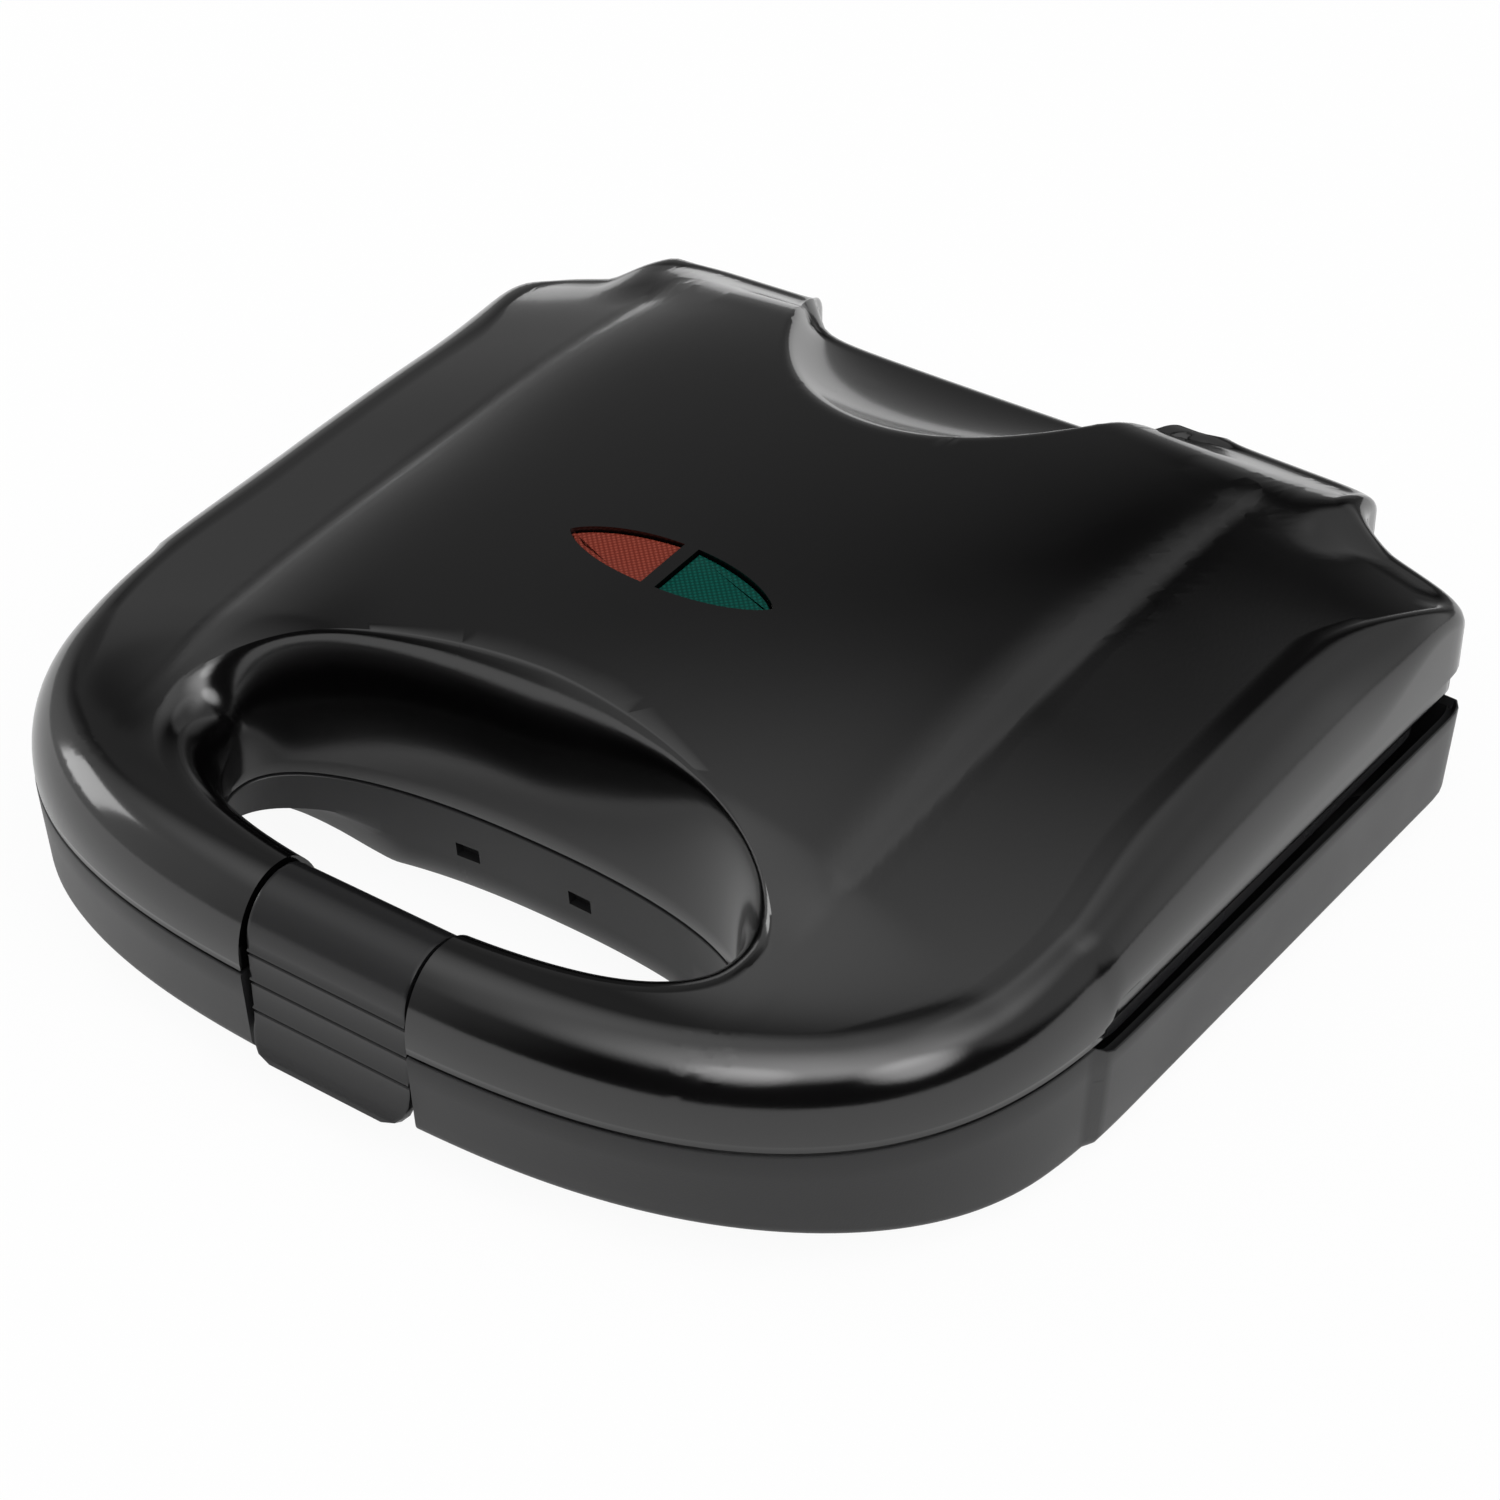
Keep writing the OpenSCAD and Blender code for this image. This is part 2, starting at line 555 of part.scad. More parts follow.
// Arm screwed inside the lug: turns on the pin between the bracket's ears
module hinge_arm() {
    difference() {
        union() {
            x_rod(knuckle_r, knuckle_x0, knuckle_x1, hinge_y, hinge_z);
            box(knuckle_x0, knuckle_x1, hinge_y - 3, hinge_y + 3, hinge_z, arm_flange_z);
            box(knuckle_x0 - 2, knuckle_x1 + 2, hinge_y - 16, hinge_y + 3, arm_flange_z - 3, arm_flange_z);
        }
        x_rod(hinge_pin_r + 0.05, knuckle_x0 - 5, knuckle_x1 + 5, hinge_y, hinge_z);
    }
}
module hinge_arm_right() {
    color(zinc) hinge_arm();
}
module hinge_arm_left() {
    color(zinc) mirror([1, 0, 0]) hinge_arm();
}
bracket_foot_z = 15;
module hinge_bracket() {
    difference() {
        union() {
            for (x = [knuckle_x0 - ear_gap - ear_t, knuckle_x1 + ear_gap]) {
                x_rod(knuckle_r, x, x + ear_t, hinge_y, hinge_z);
                box(x, x + ear_t, 90.2, hinge_y, hinge_z - knuckle_r, hinge_z);
            }
            box(knuckle_x0 - ear_gap - ear_t, knuckle_x1 + ear_gap + ear_t, 87, 92.4,
                bracket_foot_z, hinge_z - 3.2);
        }
        x_rod(hinge_pin_r, knuckle_x0 - 20, knuckle_x1 + 20, hinge_y, hinge_z);
    }
}
module hinge_bracket_right() {
    color(zinc) hinge_bracket();
}
module hinge_bracket_left() {
    color(zinc) mirror([1, 0, 0]) hinge_bracket();
}
module hinge_pin() {
    x_rod(hinge_pin_r, knuckle_x0 - ear_gap - ear_t, knuckle_x1 + ear_gap + ear_t, hinge_y, hinge_z);
}
module hinge_pin_right() {
    color(steel) hinge_pin();
}
module hinge_pin_left() {
    color(steel) mirror([1, 0, 0]) hinge_pin();
}

// ---- base ---------------------------------------------------------------------------------------------
floor_z = 4;
handle_rise = 6;
// Underside round the finger opening: a fillet at the back, a long shallow slope at the two ends
mouth_fillet = 11.5;
bar_fillet = 8.6;
end_slope_w = 25;
end_slope_h = 15;
function mouth_slope(i) = smooth(0.5, 0.25, spoke(i)[1]) * smooth(-0.6, -0.2, spoke(i)[1]);
function mouth_r(i) = mix(bar_fillet, mouth_fillet, smooth(-0.2, 0.4, spoke(i)[1]));
side_step = 1;
base_side_z = 24.8;
draft = 1.1;
function floor_at(y) = floor_z + handle_rise * smooth(-50, -108, y);
function base_edge_z(y) = mix(seam_z, base_side_z, smooth(notch_front_y, notch_back_y, y));
function base_back(p) = p[1] > wing_back_y - 1 ? [p[0], wing_back_y - 1] : p;
function base_point(i, d) = let (p = base_back(outline[i]),
        step = p[1] > notch_front_y + 0.5 ? side_step : 0,
        n = outline[i][1] > wing_back_y - 1 ? [0, -1] : inward(i))
    p + n * (d - (n == [0, -1] ? 0 : step));
function base_floor_steps(skin) = skin == 0 ? [0.3, 0.6] : [0.5];
function base_section(i, skin) = let (
        p = outline[i],
        edge = base_edge_z(min(p[1], 90)),
        w = mouth_slope(i),
        under_w = mix(mouth_r(i), end_slope_w, w) - skin,
        under_h = mix(mouth_r(i), end_slope_h, w) - skin,
        near = opening_point(i, skin + 1.2 + under_w),
        far = base_point(i, draft + 2 + skin))
    concat(
        [concat(base_point(i, skin), edge)],
        [concat(base_point(i, draft + skin), floor_at(p[1]) + 1.9 + skin * 0.5)],
        [concat(base_point(i, draft + 0.5 + skin), floor_at(p[1]) + 0.6 + skin)],
        [concat(far, floor_at(far[1]) + skin)],
        [for (s = base_floor_steps(skin)) let (q = mix(far, near, s)) concat(q, floor_at(q[1]) + skin)],
        [for (u = skin == 0 ? [1:-0.25:0] : [1:-0.5:0])
            concat(opening_point(i, skin + 1.2 + under_w * mix(1 - cos(90 * u), u, w)),
                floor_at(near[1]) + skin + under_h * mix(1 - sin(90 * u), 1 - u, w))],
        [concat(opening_point(i, skin), seam_z)]);
catch_front_y = -106.3;
pocket_y = -104.2;
catch_back_y = -101.8;
feet = [for (x = [-1, 1]) for (p = [[50, -31], [84, 74]]) [x * p[0], p[1]]];
foot_r = 9;
post_r = 4;
post_half = 3.7;
gland_z = 12;
gland_bore_r = 3.2;
module bottom_shell() {
    color(satin_black) difference() {
        union() {
            ring_of_sections([for (i = [0:count - 1])
                concat(reversed(base_section(i, 0)), base_section(i, shell_wall))]);
            for (p = feet) translate([p[0], p[1], floor_z + 1]) cylinder(r = post_r, h = 9);
            for (p = plate_screws)
                box(p[0] - post_half, p[0] + post_half, p[1] - post_half, p[1] + post_half,
                    floor_z + 1, seam_z - plate_gap - plate_post);
            box(-slot_half - 1, slot_half + 1, catch_front_y, catch_back_y,
                floor_at(-104) + 1, seam_z - 0.3);
        }
        box(-slot_half, slot_half, -case_front - 5, catch_front_y, 0, seam_z + 1);
        box(-slot_half, slot_half, -case_front - 5, pocket_y, 0, catch_z - 0.2);
        for (p = plate_screws) translate([p[0], p[1], floor_z + 6]) cylinder(r = post_bore_r, h = 20);
        for (p = feet) translate([p[0], p[1], floor_z - 1]) cylinder(r = 1.9, h = 9);
        both_sides() box(knuckle_x0 - 5.2, knuckle_x1 + 5.2, 80, wing_back_y + 1,
            bracket_foot_z, seam_z + 2);
        translate([0, wing_back_y - 8, gland_z]) rotate([-90, 0, 0]) cylinder(r = 4.6, h = 12);
    }
}
module cable_gland() {
    color(rubber_black) translate([0, wing_back_y - 1, gland_z]) rotate([-90, 0, 0]) difference() {
        union() {
            translate([0, 0, -4.4]) cylinder(r = 4.55, h = 4.6);
            cylinder(r = 6, h = 3);
            translate([0, 0, 2]) cylinder(r = 5, h = 6);
            translate([0, 0, -6.2]) cylinder(r = 4.85, h = 2.6);
        }
        translate([0, 0, -10]) cylinder(r = gland_bore_r, h = 30);
    }
}
module terminal_block() {
    color("#e9e6da") difference() {
        box(-13, 13, 70, 82, floor_z + shell_wall, floor_z + shell_wall + 8.5);
        for (x = [-8, 0, 8]) {
            translate([x, 69, floor_z + shell_wall + 3.6]) rotate([-90, 0, 0]) cylinder(r = 1.5, h = 14);
            translate([x, 76, floor_z + shell_wall + 4]) cylinder(r = 2, h = 8);
        }
    }
}
module rubber_feet() {
    color(rubber_black) for (p = feet) translate([p[0], p[1], 0]) difference() {
        union() {
            cylinder(r = foot_r - 0.6, h = 1);
            translate([0, 0, 0.8]) cylinder(r = foot_r, h = floor_z - 0.8);
        }
        translate([0, 0, -1]) cylinder(r = 4.4, h = 2.8);
        translate([0, 0, -1]) cylinder(r = 2, h = 8);
    }
}
module foot_screws() {
    color(steel) for (p = feet) translate([p[0], p[1], 1.8]) screw(1.85, 3.6, 1.2, 9);
}

top_cover();
lid_inner_bezel();
upper_plate();
upper_heating_element();
upper_heater_clamps();
upper_reflector();
upper_plate_screws();
thermostat();
thermal_fuse();
red_lens();
green_lens();
lamp_holder();
neon_lamps();
latch_bracket();
latch_pivot_pin();
hinge_arm_left();
hinge_arm_right();
latch_clip();
bottom_shell();
base_inner_bezel();
lower_plate();
lower_heating_element();
lower_heater_clamps();
lower_reflector();
lower_plate_screws();
terminal_block();
cable_gland();
hinge_bracket_left();
hinge_bracket_right();
hinge_pin_left();
hinge_pin_right();
rubber_feet();
foot_screws();
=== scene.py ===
import math

import bmesh
import bpy
from mathutils import Matrix, Vector


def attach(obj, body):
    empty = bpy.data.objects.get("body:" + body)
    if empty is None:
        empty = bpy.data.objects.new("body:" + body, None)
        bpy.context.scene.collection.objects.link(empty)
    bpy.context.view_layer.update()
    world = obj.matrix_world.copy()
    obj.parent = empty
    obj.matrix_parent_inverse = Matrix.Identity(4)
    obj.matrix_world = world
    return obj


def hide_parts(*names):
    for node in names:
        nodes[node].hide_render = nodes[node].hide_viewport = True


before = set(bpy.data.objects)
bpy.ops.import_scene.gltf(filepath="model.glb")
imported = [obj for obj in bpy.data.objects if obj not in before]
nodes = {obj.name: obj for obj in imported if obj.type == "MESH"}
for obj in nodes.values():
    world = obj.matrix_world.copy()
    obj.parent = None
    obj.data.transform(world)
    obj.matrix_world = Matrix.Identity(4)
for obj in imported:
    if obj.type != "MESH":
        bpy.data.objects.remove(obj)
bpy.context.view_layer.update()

# ---------------------------------------------------------------------------------------------
# Top cover: one glossy black moulding with the handle bar, the scoop round the finger opening,
# the pressed recess at the back and the two hinge lugs. The skin is a grid that runs from the
# case's edge to the finger opening, then gets its wall, its slot for the clip and two windows.
MM = 0.001
SEAM_Z = 28.0
SEAM_HALF_GAP = 0.4
WALL = 2.3
CASE_HALF = 112.0
CASE_FRONT = 110.6
SIDE_START_Y = -21.5
WING_BACK_Y = 94.5
LUG_IN, LUG_OUT, LUG_BACK_Y = 48.8, 84.4, 111.5
MID_BACK_Y = 98.0
CREASE_X = 71.0
FRONT_POWER = 2.83
OUTLINE_HALF_STEPS = 180
SPOKE_CENTRE = Vector((0.0, -71.0))
OPENING_CENTRE, OPENING_HALF = Vector((0.0, -69.9)), (56.0, 18.7)
SCOOP_CENTRE = Vector((0.0, -73.5))
CLIP_HALF = 17.8
SLOT_HALF = 18.8
SLOT_END_Y = -84
SIDE_GROOVE_UP = 5.4
SIDE_BAND_INSET = 1.3
RECESS_FLOOR_Z = 55.0
RECESS_POWER = 2.2
RECESS_ROUND = 1.6
CREASE_STEPS = (-5, -2.5, -1, 0.5, 2, 3.5)


def mix(a, b, t):
    return a + (b - a) * t


def smooth(a, b, v):
    t = max(0.0, min(1.0, (v - a) / (b - a)))
    return t * t * (3 - 2 * t)


def soft_min(a, b, k):
    h = max(k - abs(a - b), 0.0) / k
    return min(a, b) - h * h * k / 4


def on_arc(centre, radius, degrees):
    turn = math.radians(degrees)
    return centre[0] + radius * math.cos(turn), centre[1] + radius * math.sin(turn)


def side_x(y):
    return CASE_HALF + 0.006 * (y - SIDE_START_Y)


def case_outline():
    """Closed plan outline of the case in mm, evenly stepped, from the middle of the front, anticlockwise."""
    reach = SIDE_START_Y + CASE_FRONT
    half = []
    for i in range(91):
        a = math.radians(i)
        across = CASE_HALF * math.sin(a) ** (2 / FRONT_POWER)
        half.append((across, SIDE_START_Y - reach * math.cos(a) ** (2 / FRONT_POWER)))
    half += [(side_x(y), y) for y in range(-16, 84, 4)]
    corner = 4.5
    centre = (side_x(WING_BACK_Y) - corner, WING_BACK_Y - corner)
    half += [on_arc(centre, corner, a) for a in range(0, 91, 10)]
    half += [(96, WING_BACK_Y), (LUG_OUT + 4.6, WING_BACK_Y + 0.3), (LUG_OUT + 1.8, WING_BACK_Y + 2.2),
             (LUG_OUT + 0.5, WING_BACK_Y + 6), (LUG_OUT - 0.2, LUG_BACK_Y - 4),
             (LUG_OUT - 1.6, LUG_BACK_Y - 1.2), (LUG_OUT - 4.6, LUG_BACK_Y),
             (LUG_IN + 4, LUG_BACK_Y), (LUG_IN + 1, LUG_BACK_Y - 1.5),
             (LUG_IN - 0.4, LUG_BACK_Y - 5), (LUG_IN - 2.2, MID_BACK_Y + 2.6), (LUG_IN - 5, MID_BACK_Y + 0.4),
             (LUG_IN - 11, MID_BACK_Y), (0, MID_BACK_Y)]
    points = [Vector(p) for p in half]
    lengths = [0.0]
    for a, b in zip(points, points[1:]):
        lengths.append(lengths[-1] + (b - a).length)
    even, k = [], 0
    for i in range(OUTLINE_HALF_STEPS + 1):
        want = lengths[-1] * i / OUTLINE_HALF_STEPS
        while k < len(points) - 2 and lengths[k + 1] < want:
            k += 1
        even.append(points[k].lerp(points[k + 1], (want - lengths[k]) / (lengths[k + 1] - lengths[k])))
    loop = even + [Vector((-p.x, p.y)) for p in reversed(even[1:-1])]
    for _ in range(3):
        loop = [(loop[i - 1] + 2 * p + loop[(i + 1) % len(loop)]) / 4 for i, p in enumerate(loop)]
    return loop


outline = case_outline()
COUNT = len(outline)
spokes = [(p - SPOKE_CENTRE).normalized() for p in outline]
inward = []
for i in range(COUNT):
    t = (outline[(i + 1) % COUNT] - outline[i - 1]).normalized()
    inward.append(Vector((-t.y, t.x)))


def super_reach(d, a, b, power):
    return 1 / ((abs(d.x) / a) ** power + (abs(d.y) / b) ** power) ** (1 / power)


def opening_point(i, grow=0.0):
    d = spokes[i]
    return OPENING_CENTRE + d * super_reach(d, OPENING_HALF[0] + grow, OPENING_HALF[1] + grow, 2.3)


def scoop_point(i):
    d = spokes[i]
    back = super_reach(d, 66.5, 27.5, 1.7)
    front = super_reach(d, 66.5, 25.5, 2.2)
    return SCOOP_CENTRE + d * mix(front, back, smooth(-0.12, 0.12, d.y))


def inset_point(i, d):
    reach = 1 / max(0.6, inward[i].dot(-spokes[i]))
    return outline[i] - spokes[i] * d * reach


def crown(y):
    return 70.0 - (0.00068 if y < 50 else 0.0014) * (y - 50) ** 2


def crease(y):
    return crown(y) - mix(9.1, 7.8, smooth(0, 50, y))


def panel_edge(y):
    return 53.8 - (0.00075 if y < 60 else 0.0048) * (y - 60) ** 2


def roof(x, y):
    """Middle panel that rolls down to the creases, flat flanks, and the level tops of the hinge lugs."""
    x = abs(x)
    dome = mix(crown(y), crease(y), 0.6 * (x / CREASE_X) ** 2 + 0.4 * (x / CREASE_X) ** 6)
    flank = mix(crease(y), panel_edge(min(y, 94.0)), (x - CREASE_X) / 32.0)
    panels = mix(dome, flank, smooth(CREASE_X - 2.5, CREASE_X + 3.5, x))
    lug_top = 58.0 - 0.47 * (y - MID_BACK_Y) - 0.03 * (x - LUG_IN)
    return mix(panels, lug_top, smooth(76, 97, y) * smooth(93, 80, x))


def recess_rim(x):
    return 49.5 + 0.0168 * x * x + 0.000004 * x**4


def pressed_roof(x, y):
    """Roof with the recess pressed into its back. Its floor runs on upwards past the rim, so that
    the two meet in an even round."""
    rim = recess_rim(x)
    t = min(1.0, (y - rim) / max(5.0, MID_BACK_Y - rim))
    if t < -0.6:
        return roof(x, y)
    floor = roof(x, rim) - (roof(x, rim) - RECESS_FLOOR_Z) * (1 - (1 - t) ** RECESS_POWER)
    return soft_min(roof(x, y), floor, RECESS_ROUND)


def lid_z(p):
    return mix(45.0, max(45.0, pressed_roof(p.x, p.y)), smooth(-94, -54, p.y))


def shoulder(p, top, low):
    """How far the rounded shoulder reaches inwards and how far it drops, in mm."""
    side = smooth(SIDE_START_Y - 20, 0, p.y) * smooth(90, 70, p.y)
    rounded = min(mix(14.0, 17.0, smooth(25, 70, abs(p.x))), top - low - 0.6)
    drop = mix(rounded, 6.0, smooth(50, WING_BACK_Y - 4, p.y))
    across = mix(mix(11.0, 6.0, smooth(50, WING_BACK_Y - 4, p.y)), 14.0, side)
    return across, drop


def lid_section(i):
    """Section of the lid at one step of the outline: level lip, side band and groove, wall, shoulder,
    roof, scoop and the edge of the finger opening."""
    p = outline[i]
    in_lug = p.y > WING_BACK_Y + 4 and abs(p.x) > LUG_IN - 3
    side = 0.0 if in_lug else smooth(-38, -33, p.y)
    low = 26.0 if in_lug else SEAM_Z + SEAM_HALF_GAP
    wall_low = low + SIDE_GROOVE_UP * side
    band = SIDE_BAND_INSET * side
    across, drop = shoulder(p, lid_z(inset_point(i, 12.0)), wall_low)
    inner, rim, mouth = inset_point(i, across), scoop_point(i), opening_point(i)
    top = lid_z(inner)
    lip = low + 0.1 * side
    out = [(*inset_point(i, 2.2 + 0.55 * side), lip), (*inset_point(i, 0.12 + 1.7 * side), lip)]
    out.append((*inset_point(i, band + 0.15), low + 0.55))
    out.append((*inset_point(i, band + 0.05), low + 1.2))
    out.append((*inset_point(i, band), mix(low + 1.4, wall_low - 0.75, side)))
    out.append((*inset_point(i, band * 1.25), mix(low + 1.6, wall_low - 0.45, side)))
    out.append((*inset_point(i, 0.3 * side), mix(low + 1.8, wall_low, side)))
    out.append((*inset_point(i, 0.05 * side), mix(low + 2.0, wall_low + 0.25, side)))
    start = max(top - drop, low + 2.2, wall_low + 0.5)
    drop = top - start
    for a in range(0, 91, 6):
        c, s = math.cos(math.radians(a)), math.sin(math.radians(a))
        out.append((*inset_point(i, across * (1 - c)), start + drop * s))
    for k in range(1, 30):
        q = inner.lerp(rim, k / 30)
        out.append((*q, lid_z(q)))
    rim_z = lid_z(rim)
    for a in range(0, 91, 6):
        s, c = math.sin(math.radians(a)), math.cos(math.radians(a))
        out.append((*rim.lerp(mouth, s), mix(rim_z, SEAM_Z + 0.5, 1 - c)))
    out.append((*opening_point(i, 0.1), SEAM_Z + 0.32))
    out.append((*opening_point(i, 0.7), SEAM_Z + 0.22))
    return out


def skin_from_sections(sections):
    """A grid wrapped round the case: one column of faces for each step along the outline."""
    rows = len(sections[0]) - 1
    bm = bmesh.new()
    bmesh.ops.create_grid(bm, x_segments=COUNT, y_segments=rows, size=1.0)
    for v in bm.verts:
        column = round((v.co.x + 1) / 2 * COUNT) % COUNT
        row = round((v.co.y + 1) / 2 * rows)
        v.co = Vector(sections[column][row])
    bmesh.ops.remove_doubles(bm, verts=bm.verts, dist=1e-5)
    return bm


def box_into(bm, low, high):
    centre = (Vector(low) + Vector(high)) / 2
    size = Vector(high) - Vector(low)
    made = bmesh.ops.create_cube(bm, size=1.0)["verts"]
    bmesh.ops.scale(bm, vec=size, verts=made)
    bmesh.ops.translate(bm, vec=centre, verts=made)
    return made


def finish_mesh(bm, name, smooth_angle=None):
    """Turns a bmesh drawn in mm into an object in metres, with its place in its mesh."""
    bmesh.ops.scale(bm, vec=(MM, MM, MM), verts=bm.verts)
    mesh = bpy.data.meshes.new(name)
    bm.to_mesh(mesh)
    bm.free()
    piece = bpy.data.objects.new(name, mesh)
    bpy.context.collection.objects.link(piece)
    if smooth_angle is not None:
        mesh.shade_smooth()
        mesh.set_sharp_from_angle(angle=math.radians(smooth_angle))
    return piece


def apply_modifiers(piece, smooth_angle):
    """Replaces the piece's mesh by what its modifiers give."""
    graph = bpy.context.evaluated_depsgraph_get()
    baked = bpy.data.meshes.new_from_object(piece.evaluated_get(graph))
    piece.modifiers.clear()
    piece.data = baked
    baked.shade_smooth()
    baked.set_sharp_from_angle(angle=math.radians(smooth_angle))


def cut_with(piece, cutter_bm, smooth_angle):
    """Cuts the drawn shape out of the piece."""
    cutter = finish_mesh(cutter_bm, piece.name + "_cutter")
    cut = piece.modifiers.new("cut", "BOOLEAN")
    cut.operation, cut.solver, cut.object = "DIFFERENCE", "EXACT", cutter
    bpy.context.view_layer.update()
    apply_modifiers(piece, smooth_angle)
    bpy.data.objects.remove(cutter)


# Half-leaf shape of a pilot lamp's window, grown by some mm, drawn as one face
LENS_HALF, LENS_SIDE, LENS_GAP, LENS_Y = 23.3, 6.35, 2.0, -11.0
LENS_Z = lid_z(Vector((LENS_GAP, LENS_Y)))


def lens_outline(grow, steps=18):
    """Half leaf with a blunt tip, wide at the middle of the cover."""
    x0, tip = LENS_GAP - grow, LENS_HALF - 0.7 + grow
    upper = []
    for k in range(steps + 1):
        x = mix(x0, tip, 1 - (1 - k / steps) ** 1.9)
        upper.append((x, (LENS_SIDE + grow) * (1 - (max(0.0, x) / tip) ** 2.2) ** 0.75))
    return [(x, y) for x, y in upper] + [(x, -y) for x, y in reversed(upper[:-1])]


def leaf_prism(bm, grow, low, high, side):
    """Prism on the lens outline, tilted to lie along the roof. side is 1 for the right, -1 for the left."""
    verts = [bm.verts.new((x, y, low)) for x, y in lens_outline(grow)]
    face = bm.faces.new(verts)
    made = bmesh.ops.extrude_face_region(bm, geom=[face])["geom"]
    top = [g for g in made if isinstance(g, bmesh.types.BMVert)]
    bmesh.ops.translate(bm, vec=(0, 0, high - low), verts=top)
    every = verts + top
    lay_on_roof(bm, every, side)
    return every


def lay_on_roof(bm, verts, side):
    tilt = Matrix.Rotation(math.radians(2.6), 4, "Y") @ Matrix.Rotation(math.radians(4.6), 4, "X")
    turn = Matrix.Translation((LENS_GAP, LENS_Y, LENS_Z)) @ tilt @ Matrix.Translation((-LENS_GAP, 0, 0))
    if side < 0:
        turn = Matrix.Diagonal((-1, 1, 1, 1)) @ turn
    bmesh.ops.transform(bm, matrix=turn, verts=verts)


def score(bm, axis, places):
    """Cuts the skin's faces along planes square to an axis, so that an opening can follow them."""
    square = Vector([float(k == axis) for k in range(3)])
    for place in places:
        skin = bm.verts[:] + bm.edges[:] + bm.faces[:]
        bmesh.ops.bisect_plane(bm, geom=skin, plane_co=square * place, plane_no=square, dist=1e-4)


cover_bm = skin_from_sections([lid_section(i) for i in range(COUNT)])
on_top = cover_bm.verts.layers.float.new("on_top")
for v in cover_bm.verts:
    v[on_top] = 1.0 if abs(v.co.z - lid_z(v.co)) < 1e-4 else 0.0
score(cover_bm, 0, (-SLOT_HALF, SLOT_HALF))
score(cover_bm, 0, [side * (CREASE_X + step) for side in (-1, 1) for step in CREASE_STEPS])
by_recess = set()
for f in cover_bm.faces:
    middle = f.calc_center_median()
    if abs(middle.x) < 56 and 42 < middle.y < 97 and all(v[on_top] > 0.99 for v in f.verts):
        by_recess.update(f.edges)
bmesh.ops.subdivide_edges(cover_bm, edges=list(by_recess), cuts=2, use_grid_fill=True)
for v in cover_bm.verts:
    if v[on_top] > 0.99:
        v.co.z = lid_z(v.co)
gone = []
for f in cover_bm.faces:
    middle = f.calc_center_median()
    if abs(middle.x) < SLOT_HALF and middle.y < SLOT_END_Y:
        gone.append(f)
bmesh.ops.delete(cover_bm, geom=gone, context="FACES")
bmesh.ops.recalc_face_normals(cover_bm, faces=cover_bm.faces)
if max(cover_bm.faces, key=lambda f: f.calc_center_median().z).normal.z < 0:
    bmesh.ops.reverse_faces(cover_bm, faces=cover_bm.faces)
top_cover = finish_mesh(cover_bm, "lid_shell")
wall = top_cover.modifiers.new("wall", "SOLIDIFY")
wall.thickness, wall.offset = WALL * MM, -1
apply_modifiers(top_cover, 40)
windows = bmesh.new()
for side in (1, -1):
    leaf_prism(windows, 0.45, -6.0, 5.0, side)
bmesh.ops.recalc_face_normals(windows, faces=windows.faces)
cut_with(top_cover, windows, 35)


def detail_group():
    """Mottle and fine grain for moulded and coated surfaces: a mask, and a height for a bump."""
    group = bpy.data.node_groups.new("surface_detail", "ShaderNodeTree")
    for label, default in (("Grain Scale", 900.0), ("Mottle Scale", 30.0), ("Low", 0.2), ("High", 0.3)):
        socket = group.interface.new_socket(label, in_out="INPUT", socket_type="NodeSocketFloat")
        socket.default_value = default
    for label in ("Roughness", "Height", "Mottle"):
        group.interface.new_socket(label, in_out="OUTPUT", socket_type="NodeSocketFloat")
    n, link = group.nodes, group.links.new
    ins, outs = n.new("NodeGroupInput"), n.new("NodeGroupOutput")
    place = n.new("ShaderNodeTexCoord")
    grain, mottle = n.new("ShaderNodeTexNoise"), n.new("ShaderNodeTexNoise")
    grain.inputs["Detail"].default_value = 2
    mottle.inputs["Detail"].default_value = 3
    spread = n.new("ShaderNodeMapRange")
    for tex, scale in ((grain, "Grain Scale"), (mottle, "Mottle Scale")):
        link(place.outputs["Object"], tex.inputs["Vector"])
        link(ins.outputs[scale], tex.inputs["Scale"])
    link(mottle.outputs["Fac"], spread.inputs["Value"])
    spread.inputs["From Min"].default_value = 0.3
    spread.inputs["From Max"].default_value = 0.7
    link(ins.outputs["Low"], spread.inputs["To Min"])
    link(ins.outputs["High"], spread.inputs["To Max"])
    link(spread.outputs["Result"], outs.inputs["Roughness"])
    link(grain.outputs["Fac"], outs.inputs["Height"])
    link(mottle.outputs["Fac"], outs.inputs["Mottle"])
    return group


surface_detail = detail_group()


MOTTLE_SCALE, MOTTLE_TINT = 30.0, 0.12


